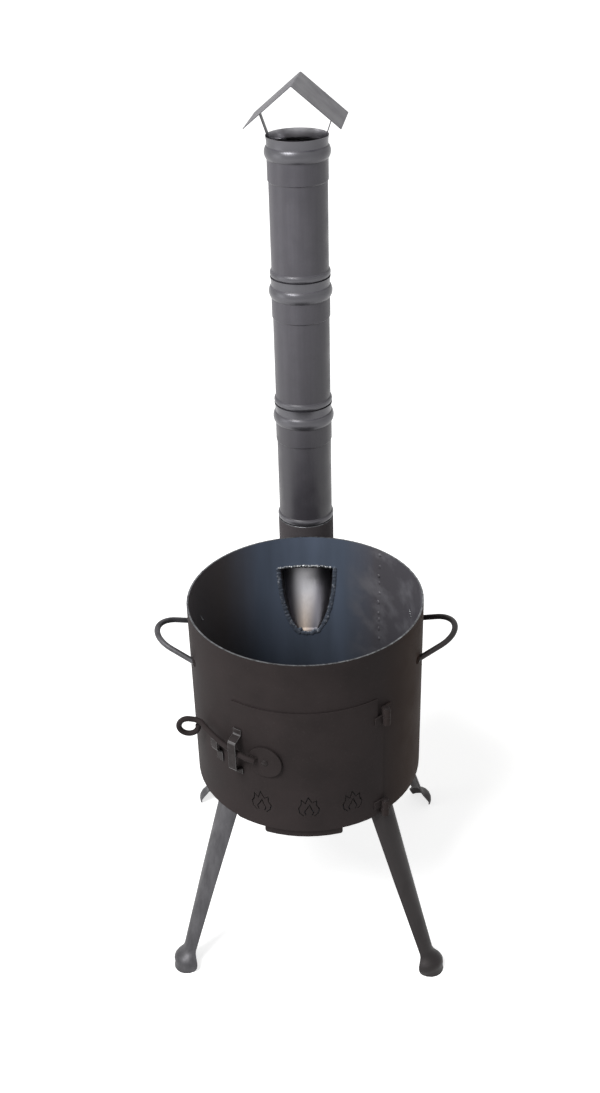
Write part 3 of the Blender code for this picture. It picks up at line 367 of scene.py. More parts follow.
shaky_hand = random.Random(7)
TOP_BEAD = {"width": 0.0062, "pitch": 0.0030, "proud": 0.0056}
ARCH_BEAD = {"width": 0.0088, "pitch": 0.0022, "proud": 0.0036}
OUTSIDE_BEAD = {"width": 0.0050, "pitch": 0.0026}
COLLAR_BEAD = {"width": 0.0040, "pitch": 0.0026}
BEAD_MARGIN = 0.0030
BEAD_LIFT, COLLAR_BEAD_LIFT = 0.0010, 0.0008
ARCH_STEPS = 12


def add_ripple(bm, centre, width, height, proud):
    """One weld ripple, a flattened ball a little out of place, turned to face the drum's axis."""
    shift = Vector([shaky_hand.uniform(-0.1, 0.1) * size for size in (proud, proud, height)])
    size = shaky_hand.uniform(0.85, 1.15)
    outwards = centre - DRUM_AXIS
    turn = Matrix.Rotation(math.atan2(outwards.y, outwards.x), 4, "Z")
    shape = Matrix.Diagonal((proud * size / 2, width * size / 2, height * size / 2, 1.0))
    bmesh.ops.create_icosphere(bm, subdivisions=2, radius=1.0,
                               matrix=Matrix.Translation(centre + shift) @ turn @ shape)


def add_bead(bm, path, width, pitch, proud=None):
    """Ripples spaced along a path of points."""
    for start, end in zip(path, path[1:]):
        count = max(1, round((end - start).length / pitch))
        for i in range(count):
            add_ripple(bm, start.lerp(end, i / count), width, width, proud or width)


def weld_piece(name, bm, body, finish):
    """Turns beads into a smooth piece that rides on a body."""
    for face in bm.faces:
        face.smooth = True
    return new_piece(name, bm, body, [finish])


def flue_edge(side, radius=DRUM_RADIUS - DRUM_WALL):
    """A line along the arched hole's edge on one side, from its flat top down to its foot."""
    shares = [FLUE_CLOSING * (1 - (1 - i / ARCH_STEPS) ** 1.6) for i in range(ARCH_STEPS + 1)]
    return [rear_wall(side * (arch_width(s) + BEAD_MARGIN), FLUE_TOP_Z - s * FLUE_HEIGHT, radius)
            for s in shares]


flue_top = [rear_wall(x / 1000, FLUE_TOP_Z + BEAD_LIFT) for x in range(-53, 55, 6)]
bm = bmesh.new()
add_bead(bm, flue_top, **TOP_BEAD)
weld_piece("weld_flue_top", bm, "stove", weld_metal)

bm = bmesh.new()
for side in (-1, 1):
    add_bead(bm, flue_edge(side), **ARCH_BEAD)
FOOT_REACH, FOOT_RISE, FOOT_SAG = 0.0150, 0.0070, 0.0090
foot_z = flue_edge(1)[-1].z
foot = [rear_wall(FOOT_REACH * math.sin(angle), foot_z + FOOT_RISE - FOOT_SAG * math.cos(angle))
        for angle in (math.radians(a) for a in range(-90, 91, 15))]
add_bead(bm, foot, **ARCH_BEAD)
weld_piece("weld_flue_arch", bm, "stove", scaled_weld)

bm = bmesh.new()
for side in (-1, 1):
    add_bead(bm, flue_edge(side, DRUM_RADIUS + BEAD_LIFT), **OUTSIDE_BEAD)
collar_low, collar_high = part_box("flue_collar")
FLUE_AXIS = (collar_low + collar_high) / 2
COLLAR_RADIUS = (collar_high.x - collar_low.x) / 2
collar_foot = [Vector((FLUE_AXIS.x + COLLAR_RADIUS * math.cos(angle),
                       FLUE_AXIS.y + COLLAR_RADIUS * math.sin(angle), FLUE_TOP_Z + COLLAR_BEAD_LIFT))
               for angle in (math.radians(10 * i) for i in range(-7, 26))]
add_bead(bm, collar_foot, **COLLAR_BEAD)
weld_piece("weld_flue_outside", bm, "stove", heat_paint)

# The drum's butt seam shows inside only where drops of weld came through
SEAM_AZIMUTH = 138.0
SEAM_DROPS = 10
SEAM_START_Z, SEAM_PITCH = 0.478, 0.0205
STRAY_UP, STRAY_ROUND = (-0.004, 0.004), (-0.5, 0.5)
DROP_WIDTHS, DROP_HEIGHTS, DROP_PROUD = (0.0045, 0.0085), (0.007, 0.012), 0.0034
bm = bmesh.new()
for i in range(SEAM_DROPS):
    drop_z = SEAM_START_Z + SEAM_PITCH * i + shaky_hand.uniform(*STRAY_UP)
    drop = ring_point(DRUM_RADIUS - DRUM_WALL, SEAM_AZIMUTH + shaky_hand.uniform(*STRAY_ROUND), drop_z)
    add_ripple(bm, drop, shaky_hand.uniform(*DROP_WIDTHS), shaky_hand.uniform(*DROP_HEIGHTS), DROP_PROUD)
weld_piece("weld_drum_seam", bm, "stove", mill_scale)


# Flue collar
# A short tube with a cut, deburred mouth, welded over the hole in the scoop's flat top. The first
# pipe section's spigot slides into it.

COLLAR_WALL = 0.002
COLLAR_EDGE = 0.0005
ROUND_STEPS = 96


def turned(profile, centre, steps=ROUND_STEPS):
    """Spins a closed outline of (radius, height) points round an upright axis."""
    bm = bmesh.new()
    ring = [bm.verts.new((centre.x + r, centre.y, z)) for r, z in profile]
    for i in range(len(ring)):
        bm.edges.new((ring[i - 1], ring[i]))
    bmesh.ops.spin(bm, geom=bm.verts[:] + bm.edges[:], cent=(centre.x, centre.y, 0), axis=(0, 0, 1),
                   angle=math.tau, steps=steps, use_merge=True)
    bmesh.ops.recalc_face_normals(bm, faces=bm.faces)
    return bm


low, high = collar_low.z, collar_high.z
bore = COLLAR_RADIUS - COLLAR_WALL
collar_profile = [(COLLAR_RADIUS, low), (COLLAR_RADIUS, high - COLLAR_EDGE),
                  (COLLAR_RADIUS - COLLAR_EDGE, high), (bore + COLLAR_EDGE, high),
                  (bore, high - COLLAR_EDGE), (bore, low)]
collar = new_piece("flue_tube", turned(collar_profile, FLUE_AXIS), "stove",
                   [heat_paint, sheared_edge], ["flue_collar"])
smooth_by_angle(collar, 30)
for face in collar.data.polygons:
    face.material_index = 1 if face.normal.z > 0.5 else 0


# Chimney sections
# Thin sheet rolled and seamed into 100 mm stove pipe, swaged with a stop bead above its spigot,
# and a stepped socket with a round bead under a flared lip. Sprayed with grey enamel that has
# rubbed brighter on the beads.

PIPE_RADIUS = 0.050
PIPE_WALL = 0.001
SOCKET_RADIUS = PIPE_RADIUS + 0.0015
INSERT_DEPTH = 0.060
SOCKET_DEPTH = 0.072
SOCKET_STEP = 0.0022
SEAT_GAP = 0.0003
BEAD_TOP, BEAD_LENGTH, BEAD_HEIGHT = 0.015, 0.022, 0.0042
STOP_LENGTH, STOP_HEIGHT = 0.013, 0.003
LIP_LENGTH, LIP_FLARE = 0.007, 0.0013
# The shares of the beads' heights from which they are rubbed
RUBBED_STOP, RUBBED_BEAD = 0.5, 0.4

# Air-dried enamel on sheet: a satin mid grey, mottled, with faint upright streaks from rolling. Heat
# has darkened it near the stove.
pipe_enamel, tree, shader, place = new_finish("satin_grey_enamel", {"Specular IOR Level": 0.4})
drawn = add_node(tree, "Mapping", {"Vector": place, "Scale": (1.0, 1.0, 0.06)})
streak = add_node(tree, "TexNoise", {"Vector": drawn, "Scale": per_metre(14), "Detail": 3.0})
mottle = add_node(tree, "TexNoise", {"Vector": place, "Scale": per_metre(34), "Detail": 6.0})
uneven = add_node(tree, "Math", {0: streak, 1: mottle}, operation="MULTIPLY")
shade = add_node(tree, "MapRange", {"Value": uneven, "From Min": 0.12, "From Max": 0.40})
enamel = add_node(tree, "Mix", {0: shade, 6: "#46444a", 7: "#535157"}, data_type="RGBA")
level = add_node(tree, "SeparateXYZ", {"Vector": place})
sooty = add_node(tree, "MapRange",
                 {"Value": level.outputs["Z"], "From Min": 1.15, "From Max": 0.75, "To Max": 0.55})
colour = add_node(tree, "Mix", {0: sooty, 6: enamel, 7: "#302e32"}, data_type="RGBA")
satin = add_node(tree, "MapRange",
                 {"Value": mottle, "From Min": 0.3, "From Max": 0.7, "To Min": 0.36, "To Max": 0.50})
# Spray leaves a 1 mm orange peel, drawn at 2 mm so that it shows
peel = add_node(tree, "TexNoise", {"Vector": place, "Scale": per_metre(2), "Detail": 2.0})
relief = add_node(tree, "Bump", {"Height": peel, "Strength": 0.2, "Distance": 0.0002})
fill(shader, {"Base Color": colour, "Roughness": satin, "Normal": relief})

# The same enamel where hands and the next pipe polish it: lighter, and glossier.
rubbed_enamel, tree, shader, place = new_finish("rubbed_grey_enamel", {"Metallic": 0.5})
rub = add_node(tree, "TexNoise", {"Vector": place, "Scale": per_metre(40), "Detail": 3.0})
colour = add_node(tree, "Mix", {0: rub, 6: "#4f4d52", 7: "#606064"}, data_type="RGBA")
polish = add_node(tree, "MapRange", {"Value": rub, "To Min": 0.40, "To Max": 0.28})
fill(shader, {"Base Color": colour, "Roughness": polish})

# Cold-rolled sheet inside the pipe, unpainted: a bright blurred metal that mirrors the mouth.
bare_sheet, tree, shader, place = new_finish("bare_cold_rolled_sheet", {"Metallic": 1.0, "Roughness": 0.34})
stain = add_node(tree, "TexNoise", {"Vector": place, "Scale": per_metre(25), "Detail": 4.0})
colour = add_node(tree, "Mix", {0: stain, 6: "#a3a2a6", 7: "#cfced2"}, data_type="RGBA")
fill(shader, {"Base Color": colour})


def bead_curve(bottom, length, base, height, steps=12):
    """A rolled bead's side view going up: a full half wave on a wall of radius base."""
    return [(base + height * math.sin(math.pi * i / steps) ** 0.7, bottom + length * i / steps)
            for i in range(1, steps)]


def pipe_wall(spigot_foot, mouth, inset):
    """The pipe wall's side view going up, moved in by inset, from the spigot to the mouth."""
    pipe, socket = PIPE_RADIUS - inset, SOCKET_RADIUS - inset
    seat = spigot_foot + INSERT_DEPTH + SEAT_GAP
    wall = [(pipe, spigot_foot), (pipe, seat)]
    wall += bead_curve(seat, STOP_LENGTH, pipe, STOP_HEIGHT)
    wall += [(pipe, seat + STOP_LENGTH), (pipe, mouth - SOCKET_DEPTH - SOCKET_STEP),
             (socket, mouth - SOCKET_DEPTH), (socket, mouth - BEAD_TOP - BEAD_LENGTH)]
    wall += bead_curve(mouth - BEAD_TOP - BEAD_LENGTH, BEAD_LENGTH, socket, BEAD_HEIGHT)
    wall += [(socket, mouth - BEAD_TOP), (socket, mouth - LIP_LENGTH), (socket + LIP_FLARE, mouth)]
    return wall


for number in (1, 2, 3):
    node = "chimney_section_%d" % number
    low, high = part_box(node)
    profile = pipe_wall(low.z, high.z, 0.0) + pipe_wall(low.z, high.z, PIPE_WALL)[::-1]
    pipe = new_piece("pipe_%d" % number, turned(profile, FLUE_AXIS), "chimney_%d" % number,
                     [pipe_enamel, rubbed_enamel, bare_sheet], [node])
    smooth_by_angle(pipe, 28)
    stop_crest = PIPE_RADIUS + RUBBED_STOP * STOP_HEIGHT
    bead_crest = SOCKET_RADIUS + RUBBED_BEAD * BEAD_HEIGHT
    for face in pipe.data.polygons:
        radius = (face.center - FLUE_AXIS).xy.length
        on_bead = radius > bead_crest or face.center.z > high.z - BEAD_TOP
        on_stop = radius > stop_crest and face.center.z < high.z - SOCKET_DEPTH - SOCKET_STEP
        inside = (face.center - FLUE_AXIS).xy.dot(face.normal.xy) < 0
        face.material_index = 2 if inside else 1 if on_bead or on_stop else 0


# Rain cap
# One sheet folded over a bar to a low roof, and held off the pipe by two sprung straps that push
# down inside its mouth. Same enamel as the pipe, with rubbed edges.

CAP_YAW = -6.3
CAP_LENGTH = 0.126
CAP_HALF_WIDTH = 0.079
CAP_RISE = 0.065
CAP_EAVES_STAND = 0.022
CAP_THICKNESS = 0.0012
CAP_FOLD = 0.002
STRAP_WIDTH, STRAP_THICKNESS = 0.016, 0.0015
STRAP_DEPTH, STRAP_TAB, STRAP_LEAN = 0.026, 0.020, 0.012
STRAP_BORE = 0.0487
STRAP_BEND = 0.003
STRAP_GAP = 0.0003
WORN_EDGE = 0.0003
SIDES = (("left", -1), ("right", 1))


def only(kind, parts):
    """The corners, or else the edges, among the parts that an operator returns."""
    return [part for part in parts if isinstance(part, kind)]


def bent_sheet(path, width, bend, matrix):
    """A strip without thickness, bent to a side view of (out, up) points with its bends rounded."""
    bm = bmesh.new()
    spine = [bm.verts.new((x, -width / 2, z)) for x, z in path]
    for start, end in zip(spine, spine[1:]):
        bm.edges.new((start, end))
    across = bmesh.ops.extrude_edge_only(bm, edges=bm.edges[:])["geom"]
    bmesh.ops.translate(bm, verts=only(bmesh.types.BMVert, across), vec=(0, width, 0))
    bends = [e for e in bm.edges if len(e.link_faces) == 2]
    bmesh.ops.bevel(bm, geom=bends, offset=bend, offset_type="OFFSET", affect="EDGES", segments=5,
                    profile=0.5, material=-1)
    bmesh.ops.transform(bm, matrix=matrix, verts=bm.verts)
    return bm


def thicken(piece, thickness, edge):
    """Gives a bent sheet its gauge about its middle, and a worn rounded edge in its second finish."""
    wall = piece.modifiers.new("gauge", "SOLIDIFY")
    wall.thickness = thickness
    wall.offset = 0.0
    wall.use_even_offset = True
    smooth_by_angle(piece, 35)
    soften_edges(piece, edge, 60.0, 1)


cap_turn = (Matrix.Translation((FLUE_AXIS.x, FLUE_AXIS.y, 0))
            @ Matrix.Rotation(math.radians(CAP_YAW), 4, "Z"))
pipe_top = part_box("chimney_section_3")[1].z
ridge = pipe_top + CAP_EAVES_STAND + CAP_RISE
roof_path = [(-CAP_HALF_WIDTH, ridge - CAP_RISE), (0.0, ridge), (CAP_HALF_WIDTH, ridge - CAP_RISE)]
roof = new_piece("cap_roof", bent_sheet(roof_path, CAP_LENGTH, CAP_FOLD, cap_turn), "cap",
                 [pipe_enamel, rubbed_enamel], ["rain_cap"])
thicken(roof, CAP_THICKNESS, WORN_EDGE)

roof_slope = math.atan2(CAP_RISE, CAP_HALF_WIDTH)
under = (CAP_THICKNESS / 2 + STRAP_THICKNESS / 2 + STRAP_GAP) / math.cos(roof_slope)
shoulder = STRAP_BORE + STRAP_LEAN
tab = shoulder - STRAP_TAB * math.cos(roof_slope)
for side, sign in SIDES:
    strap_path = [(STRAP_BORE, pipe_top - STRAP_DEPTH), (STRAP_BORE, pipe_top),
                  (shoulder, ridge - CAP_RISE * shoulder / CAP_HALF_WIDTH - under),
                  (tab, ridge - CAP_RISE * tab / CAP_HALF_WIDTH - under)]
    mirrored = [(sign * x, z) for x, z in strap_path]
    strap = new_piece("cap_spring_" + side, bent_sheet(mirrored, STRAP_WIDTH, STRAP_BEND, cap_turn), "cap",
                      [pipe_enamel, rubbed_enamel], ["cap_strap_" + side])
    thicken(strap, STRAP_THICKNESS, WORN_EDGE)


# Carrying handles
# A bow of 10 mm round bar on each side, bent cold round a former and welded to the drum at both
# ends. Left as rolled, with a dull oxide skin.

ROD_RADIUS = 0.005
ROD_SIDES = 24
ROD_END_EDGE = 0.0008
HANDLE_REACH = DRUM_RADIUS + 0.057
HANDLE_SPREAD = 0.138
HANDLE_BOW = 0.050
HANDLE_ROOT_DROP, HANDLE_TIP_DROP = 0.088, 0.066
HANDLE_SINK = 0.001
HANDLE_ROOT_SHARE = 0.9
GRIP_BEAD = {"width": 0.0036, "pitch": 0.0028}
GRIP_BEAD_RADIUS = 0.0058
BURN_BEAD = {"width": 0.0030, "pitch": 0.0022}
BURN_STEPS = 6
BURN_TURN, BURN_DROP, BURN_RISE = 0.4, 0.007, 0.0028

# Hot-rolled bar and sheet: a grey oxide skin drawn out along its length and handled smooth. Towards
# the right it is painted browner and darker, as painted shade.
rolled_steel, tree, shader, place = new_finish("hot_rolled_steel",
                                               {"Metallic": 0.45, "Specular IOR Level": 0.4})
drawn = add_node(tree, "Mapping", {"Vector": place, "Scale": (1.0, 1.0, 0.15)})
skin = add_node(tree, "TexNoise",
                {"Vector": drawn, "Scale": per_metre(16), "Detail": 5.0, "Roughness": 0.55})
patch = add_node(tree, "MapRange", {"Value": skin, "From Min": 0.30, "From Max": 0.70})
oxide_and_painted_shade = add_node(tree, "Mix", {0: patch, 6: "#434245", 7: "#5a595c"}, data_type="RGBA")
where = add_node(tree, "SeparateXYZ", {"Vector": place})
# Painted shade: browner and darker towards the right
painted_side_shade = add_node(tree, "MapRange",
                   {"Value": where.outputs["X"], "From Min": 0.0, "From Max": 0.12, "To Max": 0.95})
colour = add_node(tree, "Mix", {0: painted_side_shade, 6: oxide_and_painted_shade, 7: "#292525"}, data_type="RGBA")
dull = add_node(tree, "MapRange",
                {"Value": skin, "From Min": 0.3, "From Max": 0.7, "To Min": 0.58, "To Max": 0.42})
# The oxide's grain is 0.2 mm, drawn at 1.2 mm so that it shows
grain = add_node(tree, "TexNoise", {"Vector": place, "Scale": per_metre(1.2), "Detail": 3.0})
relief = add_node(tree, "Bump", {"Height": grain, "Strength": 0.3, "Distance": 0.0002})
fill(shader, {"Base Color": colour, "Roughness": dull, "Normal": relief})


def direction(azimuth):
    """The way that leads straight out from the drum's axis at an azimuth."""
    return ring_point(1.0, azimuth) - DRUM_AXIS


def rod_start(bm, centre, heading):
    """The open end of a bar, as a circle across its heading."""
    turn = Vector((0, 0, 1)).rotation_difference(heading).to_matrix().to_4x4()
    bmesh.ops.create_circle(bm, segments=ROD_SIDES, radius=ROD_RADIUS,
                            matrix=Matrix.Translation(centre) @ turn)
    return bm.edges[:]


def run_straight(bm, end, travel):
    """Carries the bar's open end along a straight."""
    moved = bmesh.ops.extrude_edge_only(bm, edges=end)["geom"]
    bmesh.ops.translate(bm, verts=only(bmesh.types.BMVert, moved), vec=travel)
    return only(bmesh.types.BMEdge, moved)


def run_round(bm, end, centre, axis, degrees, steps):
    """Carries the bar's open end round a bend."""
    corners = list({v for e in end for v in e.verts})
    swept = bmesh.ops.spin(bm, geom=corners + end, cent=centre, axis=axis,
                           angle=math.radians(degrees), steps=steps)["geom_last"]
    return only(bmesh.types.BMEdge, swept)


def close_rod(bm):
    """Closes the bar's open ends and takes the sharp off them."""
    open_edges = [e for e in bm.edges if e.is_boundary]
    caps = bmesh.ops.holes_fill(bm, edges=open_edges, sides=0)["faces"]
    rims = list({e for f in caps for e in f.edges})
    bmesh.ops.bevel(bm, geom=rims, offset=ROD_END_EDGE, offset_type="OFFSET", affect="EDGES", segments=2,
                    profile=0.5, material=-1)
    bmesh.ops.recalc_face_normals(bm, faces=bm.faces)


def half_handle():
    """From the middle of the bow, flat in plan, round to one arm and into the drum's wall."""
    bm = bmesh.new()
    bow = Vector((HANDLE_REACH - HANDLE_BOW, 0, 0))
    root = Vector((HANDLE_ROOT_SHARE * (DRUM_RADIUS - DRUM_WALL), HANDLE_SPREAD / 2, 0))
    offset = root - bow
    lean = math.atan2(offset.y, offset.x) - math.acos(HANDLE_BOW / offset.length)
    end = rod_start(bm, bow + Vector((HANDLE_BOW, 0, 0)), Vector((0, 1, 0)))
    end = run_round(bm, end, bow, (0, 0, 1), math.degrees(lean), 20)
    arm_start = bow + HANDLE_BOW * Vector((math.cos(lean), math.sin(lean), 0))
    run_straight(bm, end, root - arm_start)
    return bm, root


for side, sign in SIDES:
    bm, root = half_handle()
    wall = root.normalized()
    bmesh.ops.bisect_plane(bm, geom=bm.verts[:] + bm.edges[:] + bm.faces[:], clear_inner=True,
                           plane_co=wall * (DRUM_RADIUS - HANDLE_SINK), plane_no=wall)
    bmesh.ops.mirror(bm, geom=bm.verts[:] + bm.edges[:] + bm.faces[:], merge_dist=1e-5, axis="Y")
    close_rod(bm)
    rise = (HANDLE_ROOT_DROP - HANDLE_TIP_DROP) / (HANDLE_REACH - DRUM_RADIUS)
    pitch = math.atan(rise)
    tilt = Matrix.Rotation(-pitch, 4, "Y") @ Matrix.Scale(1 / math.cos(pitch), 4, (1, 0, 0))
    tip = Matrix.Translation((HANDLE_REACH, 0, 0))
    face_side = Matrix.Scale(sign, 4, (1, 0, 0))
    stand = Matrix.Translation(DRUM_AXIS + Vector((0, 0, RIM_Z - HANDLE_TIP_DROP)))
    bmesh.ops.transform(bm, matrix=stand @ face_side @ tip @ tilt @ tip.inverted(), verts=bm.verts)
    bmesh.ops.recalc_face_normals(bm, faces=bm.faces)
    handle = new_piece("grip_" + side, bm, "stove", [rolled_steel], ["handle_" + side])
    smooth_by_angle(handle, 40)
    bm = bmesh.new()
    root_z = RIM_Z - HANDLE_TIP_DROP - rise * (HANDLE_REACH - DRUM_RADIUS)
    arm_turn = math.degrees(math.atan2(root.y, root.x))
    arm_azimuths = (sign * 90 - arm_turn, sign * 90 + arm_turn)
    for azimuth in arm_azimuths:
        middle = ring_point(DRUM_RADIUS, azimuth, root_z)
        across = direction(azimuth + 90.0)
        ring = [middle + GRIP_BEAD_RADIUS * (across * math.cos(angle) + Vector((0, 0, math.sin(angle))))
                for angle in (math.radians(30 * i) for i in range(13))]
        add_bead(bm, ring, **GRIP_BEAD)
    weld_piece("weld_grip_" + side, bm, "stove", heat_paint)
    bm = bmesh.new()
    for azimuth in arm_azimuths:
        burn = [ring_point(DRUM_RADIUS - DRUM_WALL, azimuth + BURN_TURN * i,
                           root_z - BURN_DROP + BURN_RISE * i) for i in range(BURN_STEPS)]
        add_bead(bm, burn, **BURN_BEAD)
    weld_piece("burn_through_" + side, bm, "stove", weld_metal)


# Legs
# Four strips of 2.5 mm sheet pressed to an arch, tapered to a neck and flared into a half-round
# foot that stands on its edge. Left as rolled. The left front one catches the light on its crown.

for corner in ("front_left", "front_right", "rear_left", "rear_right"):
    leg = new_piece("strut_" + corner, merged_copy("leg_" + corner), "stove",
                    [rolled_steel, sheared_edge], ["leg_" + corner])
    smooth_by_angle(leg, 40)
    soften_edges(leg, SHEARED_EDGE_WIDTH, 50.0, 1)

LEG_TOP_AZIMUTHS = (-48.0, 42.0, 132.0, -138.0)
LEG_CROWN_RADIUS, LEG_ARCH, LEG_TOP_HALF_WIDTH = 0.2058, 0.0135, 0.023
LEG_BEAD = {"width": 0.0034, "pitch": 0.0026}
LEG_BEAD_DROP = 0.0008
bm = bmesh.new()
for azimuth in LEG_TOP_AZIMUTHS:
    crown = [ring_point(LEG_CROWN_RADIUS - LEG_ARCH * t * t, azimuth, FLOOR_Z - LEG_BEAD_DROP)
             + direction(azimuth + 90.0) * (LEG_TOP_HALF_WIDTH * t)
             for t in (i / 4 for i in range(-4, 5))]
    add_bead(bm, crown, **LEG_BEAD)
weld_piece("weld_legs", bm, "stove", heat_paint)


# Fire door
# A curved plate that lies just proud of the drum, with three flame-shaped vents cut through it by
# a narrow laser kerf. Painted with the drum, edges and all.

door = new_piece("door_plate", merged_copy("door_panel"), "door",
                 [heat_paint], ["door_panel"])
shade_as_cylinder(door.data)


# Door hinges
# Each is two short knuckles of tube on a leaf of flat bar, one welded to the drum and one to the
# door, on a headed pin. Painted over with the drum, and rubbed bright where they turn.

# Cut strap, pins and rivets: drawn steel under a thin dusting of the drum's paint, satin and dark.
bright_steel, tree, shader, place = new_finish("dusted_cut_strap", {"Specular IOR Level": 0.14})
mark = add_node(tree, "TexNoise",
                {"Vector": place, "Scale": per_metre(11), "Detail": 7.0, "Roughness": 0.66})
clean = add_node(tree, "MapRange", {"Value": mark, "From Min": 0.36, "From Max": 0.64})
colour = add_node(tree, "Mix", {0: clean, 6: "#221d1d", 7: "#2e2929"}, data_type="RGBA")
satin = add_node(tree, "MapRange", {"Value": mark, "To Min": 0.62, "To Max": 0.48})
fill(shader, {"Base Color": colour, "Roughness": satin})

# The same steel, pale and smooth, on bends and edges: polished by the rod that rubs on it, and on the
# staple's and catch's sloping shoulders a painted highlight as well.
worn_steel_and_painted_highlight, tree, shader, place = new_finish("polished_by_wear_and_painted_highlight", {"Metallic": 0.3, "Roughness": 0.42})
mark = add_node(tree, "TexNoise", {"Vector": place, "Scale": per_metre(5), "Detail": 4.0})
colour = add_node(tree, "Mix", {0: mark, 6: "#3c393a", 7: "#5a5859"}, data_type="RGBA")
fill(shader, {"Base Color": colour})

KNUCKLE_EDGE = 0.0005
for level in ("upper", "lower"):
    for owner, body in (("drum", "stove"), ("door", "door")):
        node = "%s_knuckle_%s" % (owner, level)
        knuckle = new_piece("%s_hinge_%s" % (owner, level), merged_copy(node), body,
                            [heat_paint, worn_steel_and_painted_highlight], [node])
        smooth_by_angle(knuckle, 32)
        soften_edges(knuckle, KNUCKLE_EDGE, 50.0, 1)

PIN_RADIUS = 0.0035
PIN_HEAD_RADIUS = 0.0055
PIN_HEAD_HEIGHT = 0.0025
PIN_DOME_HEIGHT = 0.0015
TIP_RADIUS = 0.0001


def domed(radius, bottom, height, steps=5):
    """The side view of a flat dome, from its edge to its top."""
    angles = [math.pi / 2 * i / steps for i in range(steps)]
    curve = [(radius * math.cos(angle), bottom + height * math.sin(angle)) for angle in angles]
    return curve + [(TIP_RADIUS, bottom + height)]


for level in ("upper", "lower"):
    low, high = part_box("hinge_pin_" + level)
    centre = (low + high) / 2
    shaft = [(TIP_RADIUS, low.z), (PIN_RADIUS, low.z), (PIN_RADIUS, high.z - PIN_HEAD_HEIGHT),
             (PIN_HEAD_RADIUS, high.z - PIN_HEAD_HEIGHT)]
    shaft += domed(PIN_HEAD_RADIUS, high.z - PIN_DOME_HEIGHT, PIN_DOME_HEIGHT)
    pin = new_piece("pin_" + level, turned(shaft, centre, 32), "stove", [bright_steel],
                    ["hinge_pin_" + level])
    smooth_by_angle(pin, 40)


# Latch
# A round plate on a rivet, with a 10 mm bar welded across it that runs round the drum, bends
# away from it, and closes into a finger ring.

LATCH_AZIMUTH = -19.5
LATCH_Z = 0.469
LATCH_TILT = 10.5
DISC_RADIUS = 0.031
DISC_EDGE = 0.0006
DISC_BACK, DISC_FACE = 0.2110, 0.2140
ROD_GAP = 0.0003
ROD_DISTANCE = DISC_FACE + ROD_GAP + ROD_RADIUS
ROD_LEAD, ROD_STRAIGHT = 0.016, 0.034
ROD_END = -56.0
ARC_RADIUS = math.hypot(ROD_DISTANCE, ROD_STRAIGHT)
BEND_RADIUS = 0.020
RING_RADIUS = 0.017
RING_LEAD = 0.4
RING_SWEEP = 292.0
RIVET_RADIUS = 0.006
RIVET_HEAD_HEIGHT, RIVET_TAIL_HEIGHT = 0.0030, 0.0014
RIVET_TAIL_BACK = 0.0050
LATCH_SIDE_BEAD = {"width": 0.0034, "pitch": 0.0026}
SIDE_BEAD_LIFT, SIDE_BEAD_DEPTH = 0.0048, 0.0035
LATCH_END_BEAD = {"width": 0.0036, "pitch": 0.0026}
END_BEAD_PLACE, END_BEAD_DEPTH = 0.0155, 0.0030

pivot = ring_point(0.0, 0.0, LATCH_Z)
latch_out = direction(LATCH_AZIMUTH)
to_left = -direction(LATCH_AZIMUTH + 90.0)
latch_tilt = (Matrix.Translation(pivot) @ Matrix.Rotation(math.radians(LATCH_TILT), 4, -latch_out)
              @ Matrix.Translation(-pivot))

bm = bmesh.new()
face_out = latch_out.to_track_quat("Z", "Y").to_matrix().to_4x4()
bmesh.ops.create_circle(bm, cap_ends=True, segments=64, radius=DISC_RADIUS,
                        matrix=Matrix.Translation(ring_point(DISC_BACK, LATCH_AZIMUTH, LATCH_Z)) @ face_out)
disc_front = bmesh.ops.extrude_face_region(bm, geom=bm.faces[:], use_keep_orig=True)["geom"]
bmesh.ops.translate(bm, verts=only(bmesh.types.BMVert, disc_front), vec=latch_out * (DISC_FACE - DISC_BACK))
bmesh.ops.recalc_face_normals(bm, faces=bm.faces)
bmesh.ops.transform(bm, matrix=latch_tilt, verts=bm.verts)
disc = new_piece("latch_plate", bm, "latch", [heat_paint], ["latch_disc"])
smooth_by_angle(disc, 30)
soften_edges(disc, DISC_EDGE, 60.0)

bm = bmesh.new()
bar = ring_point(ROD_DISTANCE, LATCH_AZIMUTH, LATCH_Z)
end = rod_start(bm, bar + to_left * ROD_LEAD, to_left)
end = run_straight(bm, end, to_left * (ROD_STRAIGHT - ROD_LEAD))
arc_start = LATCH_AZIMUTH - math.degrees(math.atan2(ROD_STRAIGHT, ROD_DISTANCE))
end = run_round(bm, end, pivot, (0, 0, 1), ROD_END - arc_start, 16)
bend_start = ring_point(ARC_RADIUS, ROD_END, LATCH_Z)
bend_centre = bend_start + direction(ROD_END) * BEND_RADIUS
turn = math.acos(-direction(ROD_END + 90.0).dot(Vector((-1, 0, 0))))
end = run_round(bm, end, bend_centre, (0, 0, 1), math.degrees(turn), 8)
ring_top = bend_centre + Matrix.Rotation(turn, 3, "Z") @ (bend_start - bend_centre)
lead = Vector((-RING_LEAD * RING_RADIUS, 0, 0))
end = run_straight(bm, end, lead)
ring_centre = ring_top + lead - Vector((0, 0, RING_RADIUS))
run_round(bm, end, ring_centre, (0, -1, 0), RING_SWEEP, 40)
close_rod(bm)
bmesh.ops.transform(bm, matrix=latch_tilt, verts=bm.verts)
latch_bar = new_piece("latch_bar", bm, "latch", [heat_paint], ["latch_rod"])
smooth_by_angle(latch_bar, 40)

bm = bmesh.new()
for lift in (-1, 1):
    beside = bar + Vector((0, 0, lift * SIDE_BEAD_LIFT)) - latch_out * SIDE_BEAD_DEPTH
    side_line = [beside + to_left * x / 1000 for x in (16, 19, 22, 25, 28)]
    add_bead(bm, side_line, **LATCH_SIDE_BEAD)
beyond = bar + to_left * END_BEAD_PLACE - latch_out * END_BEAD_DEPTH
end_line = [beyond + Vector((0, 0, z / 1000)) for z in (-4, 0, 4)]
add_bead(bm, end_line, **LATCH_END_BEAD)
bmesh.ops.transform(bm, matrix=latch_tilt, verts=bm.verts)
weld_piece("weld_latch", bm, "latch", heat_paint)

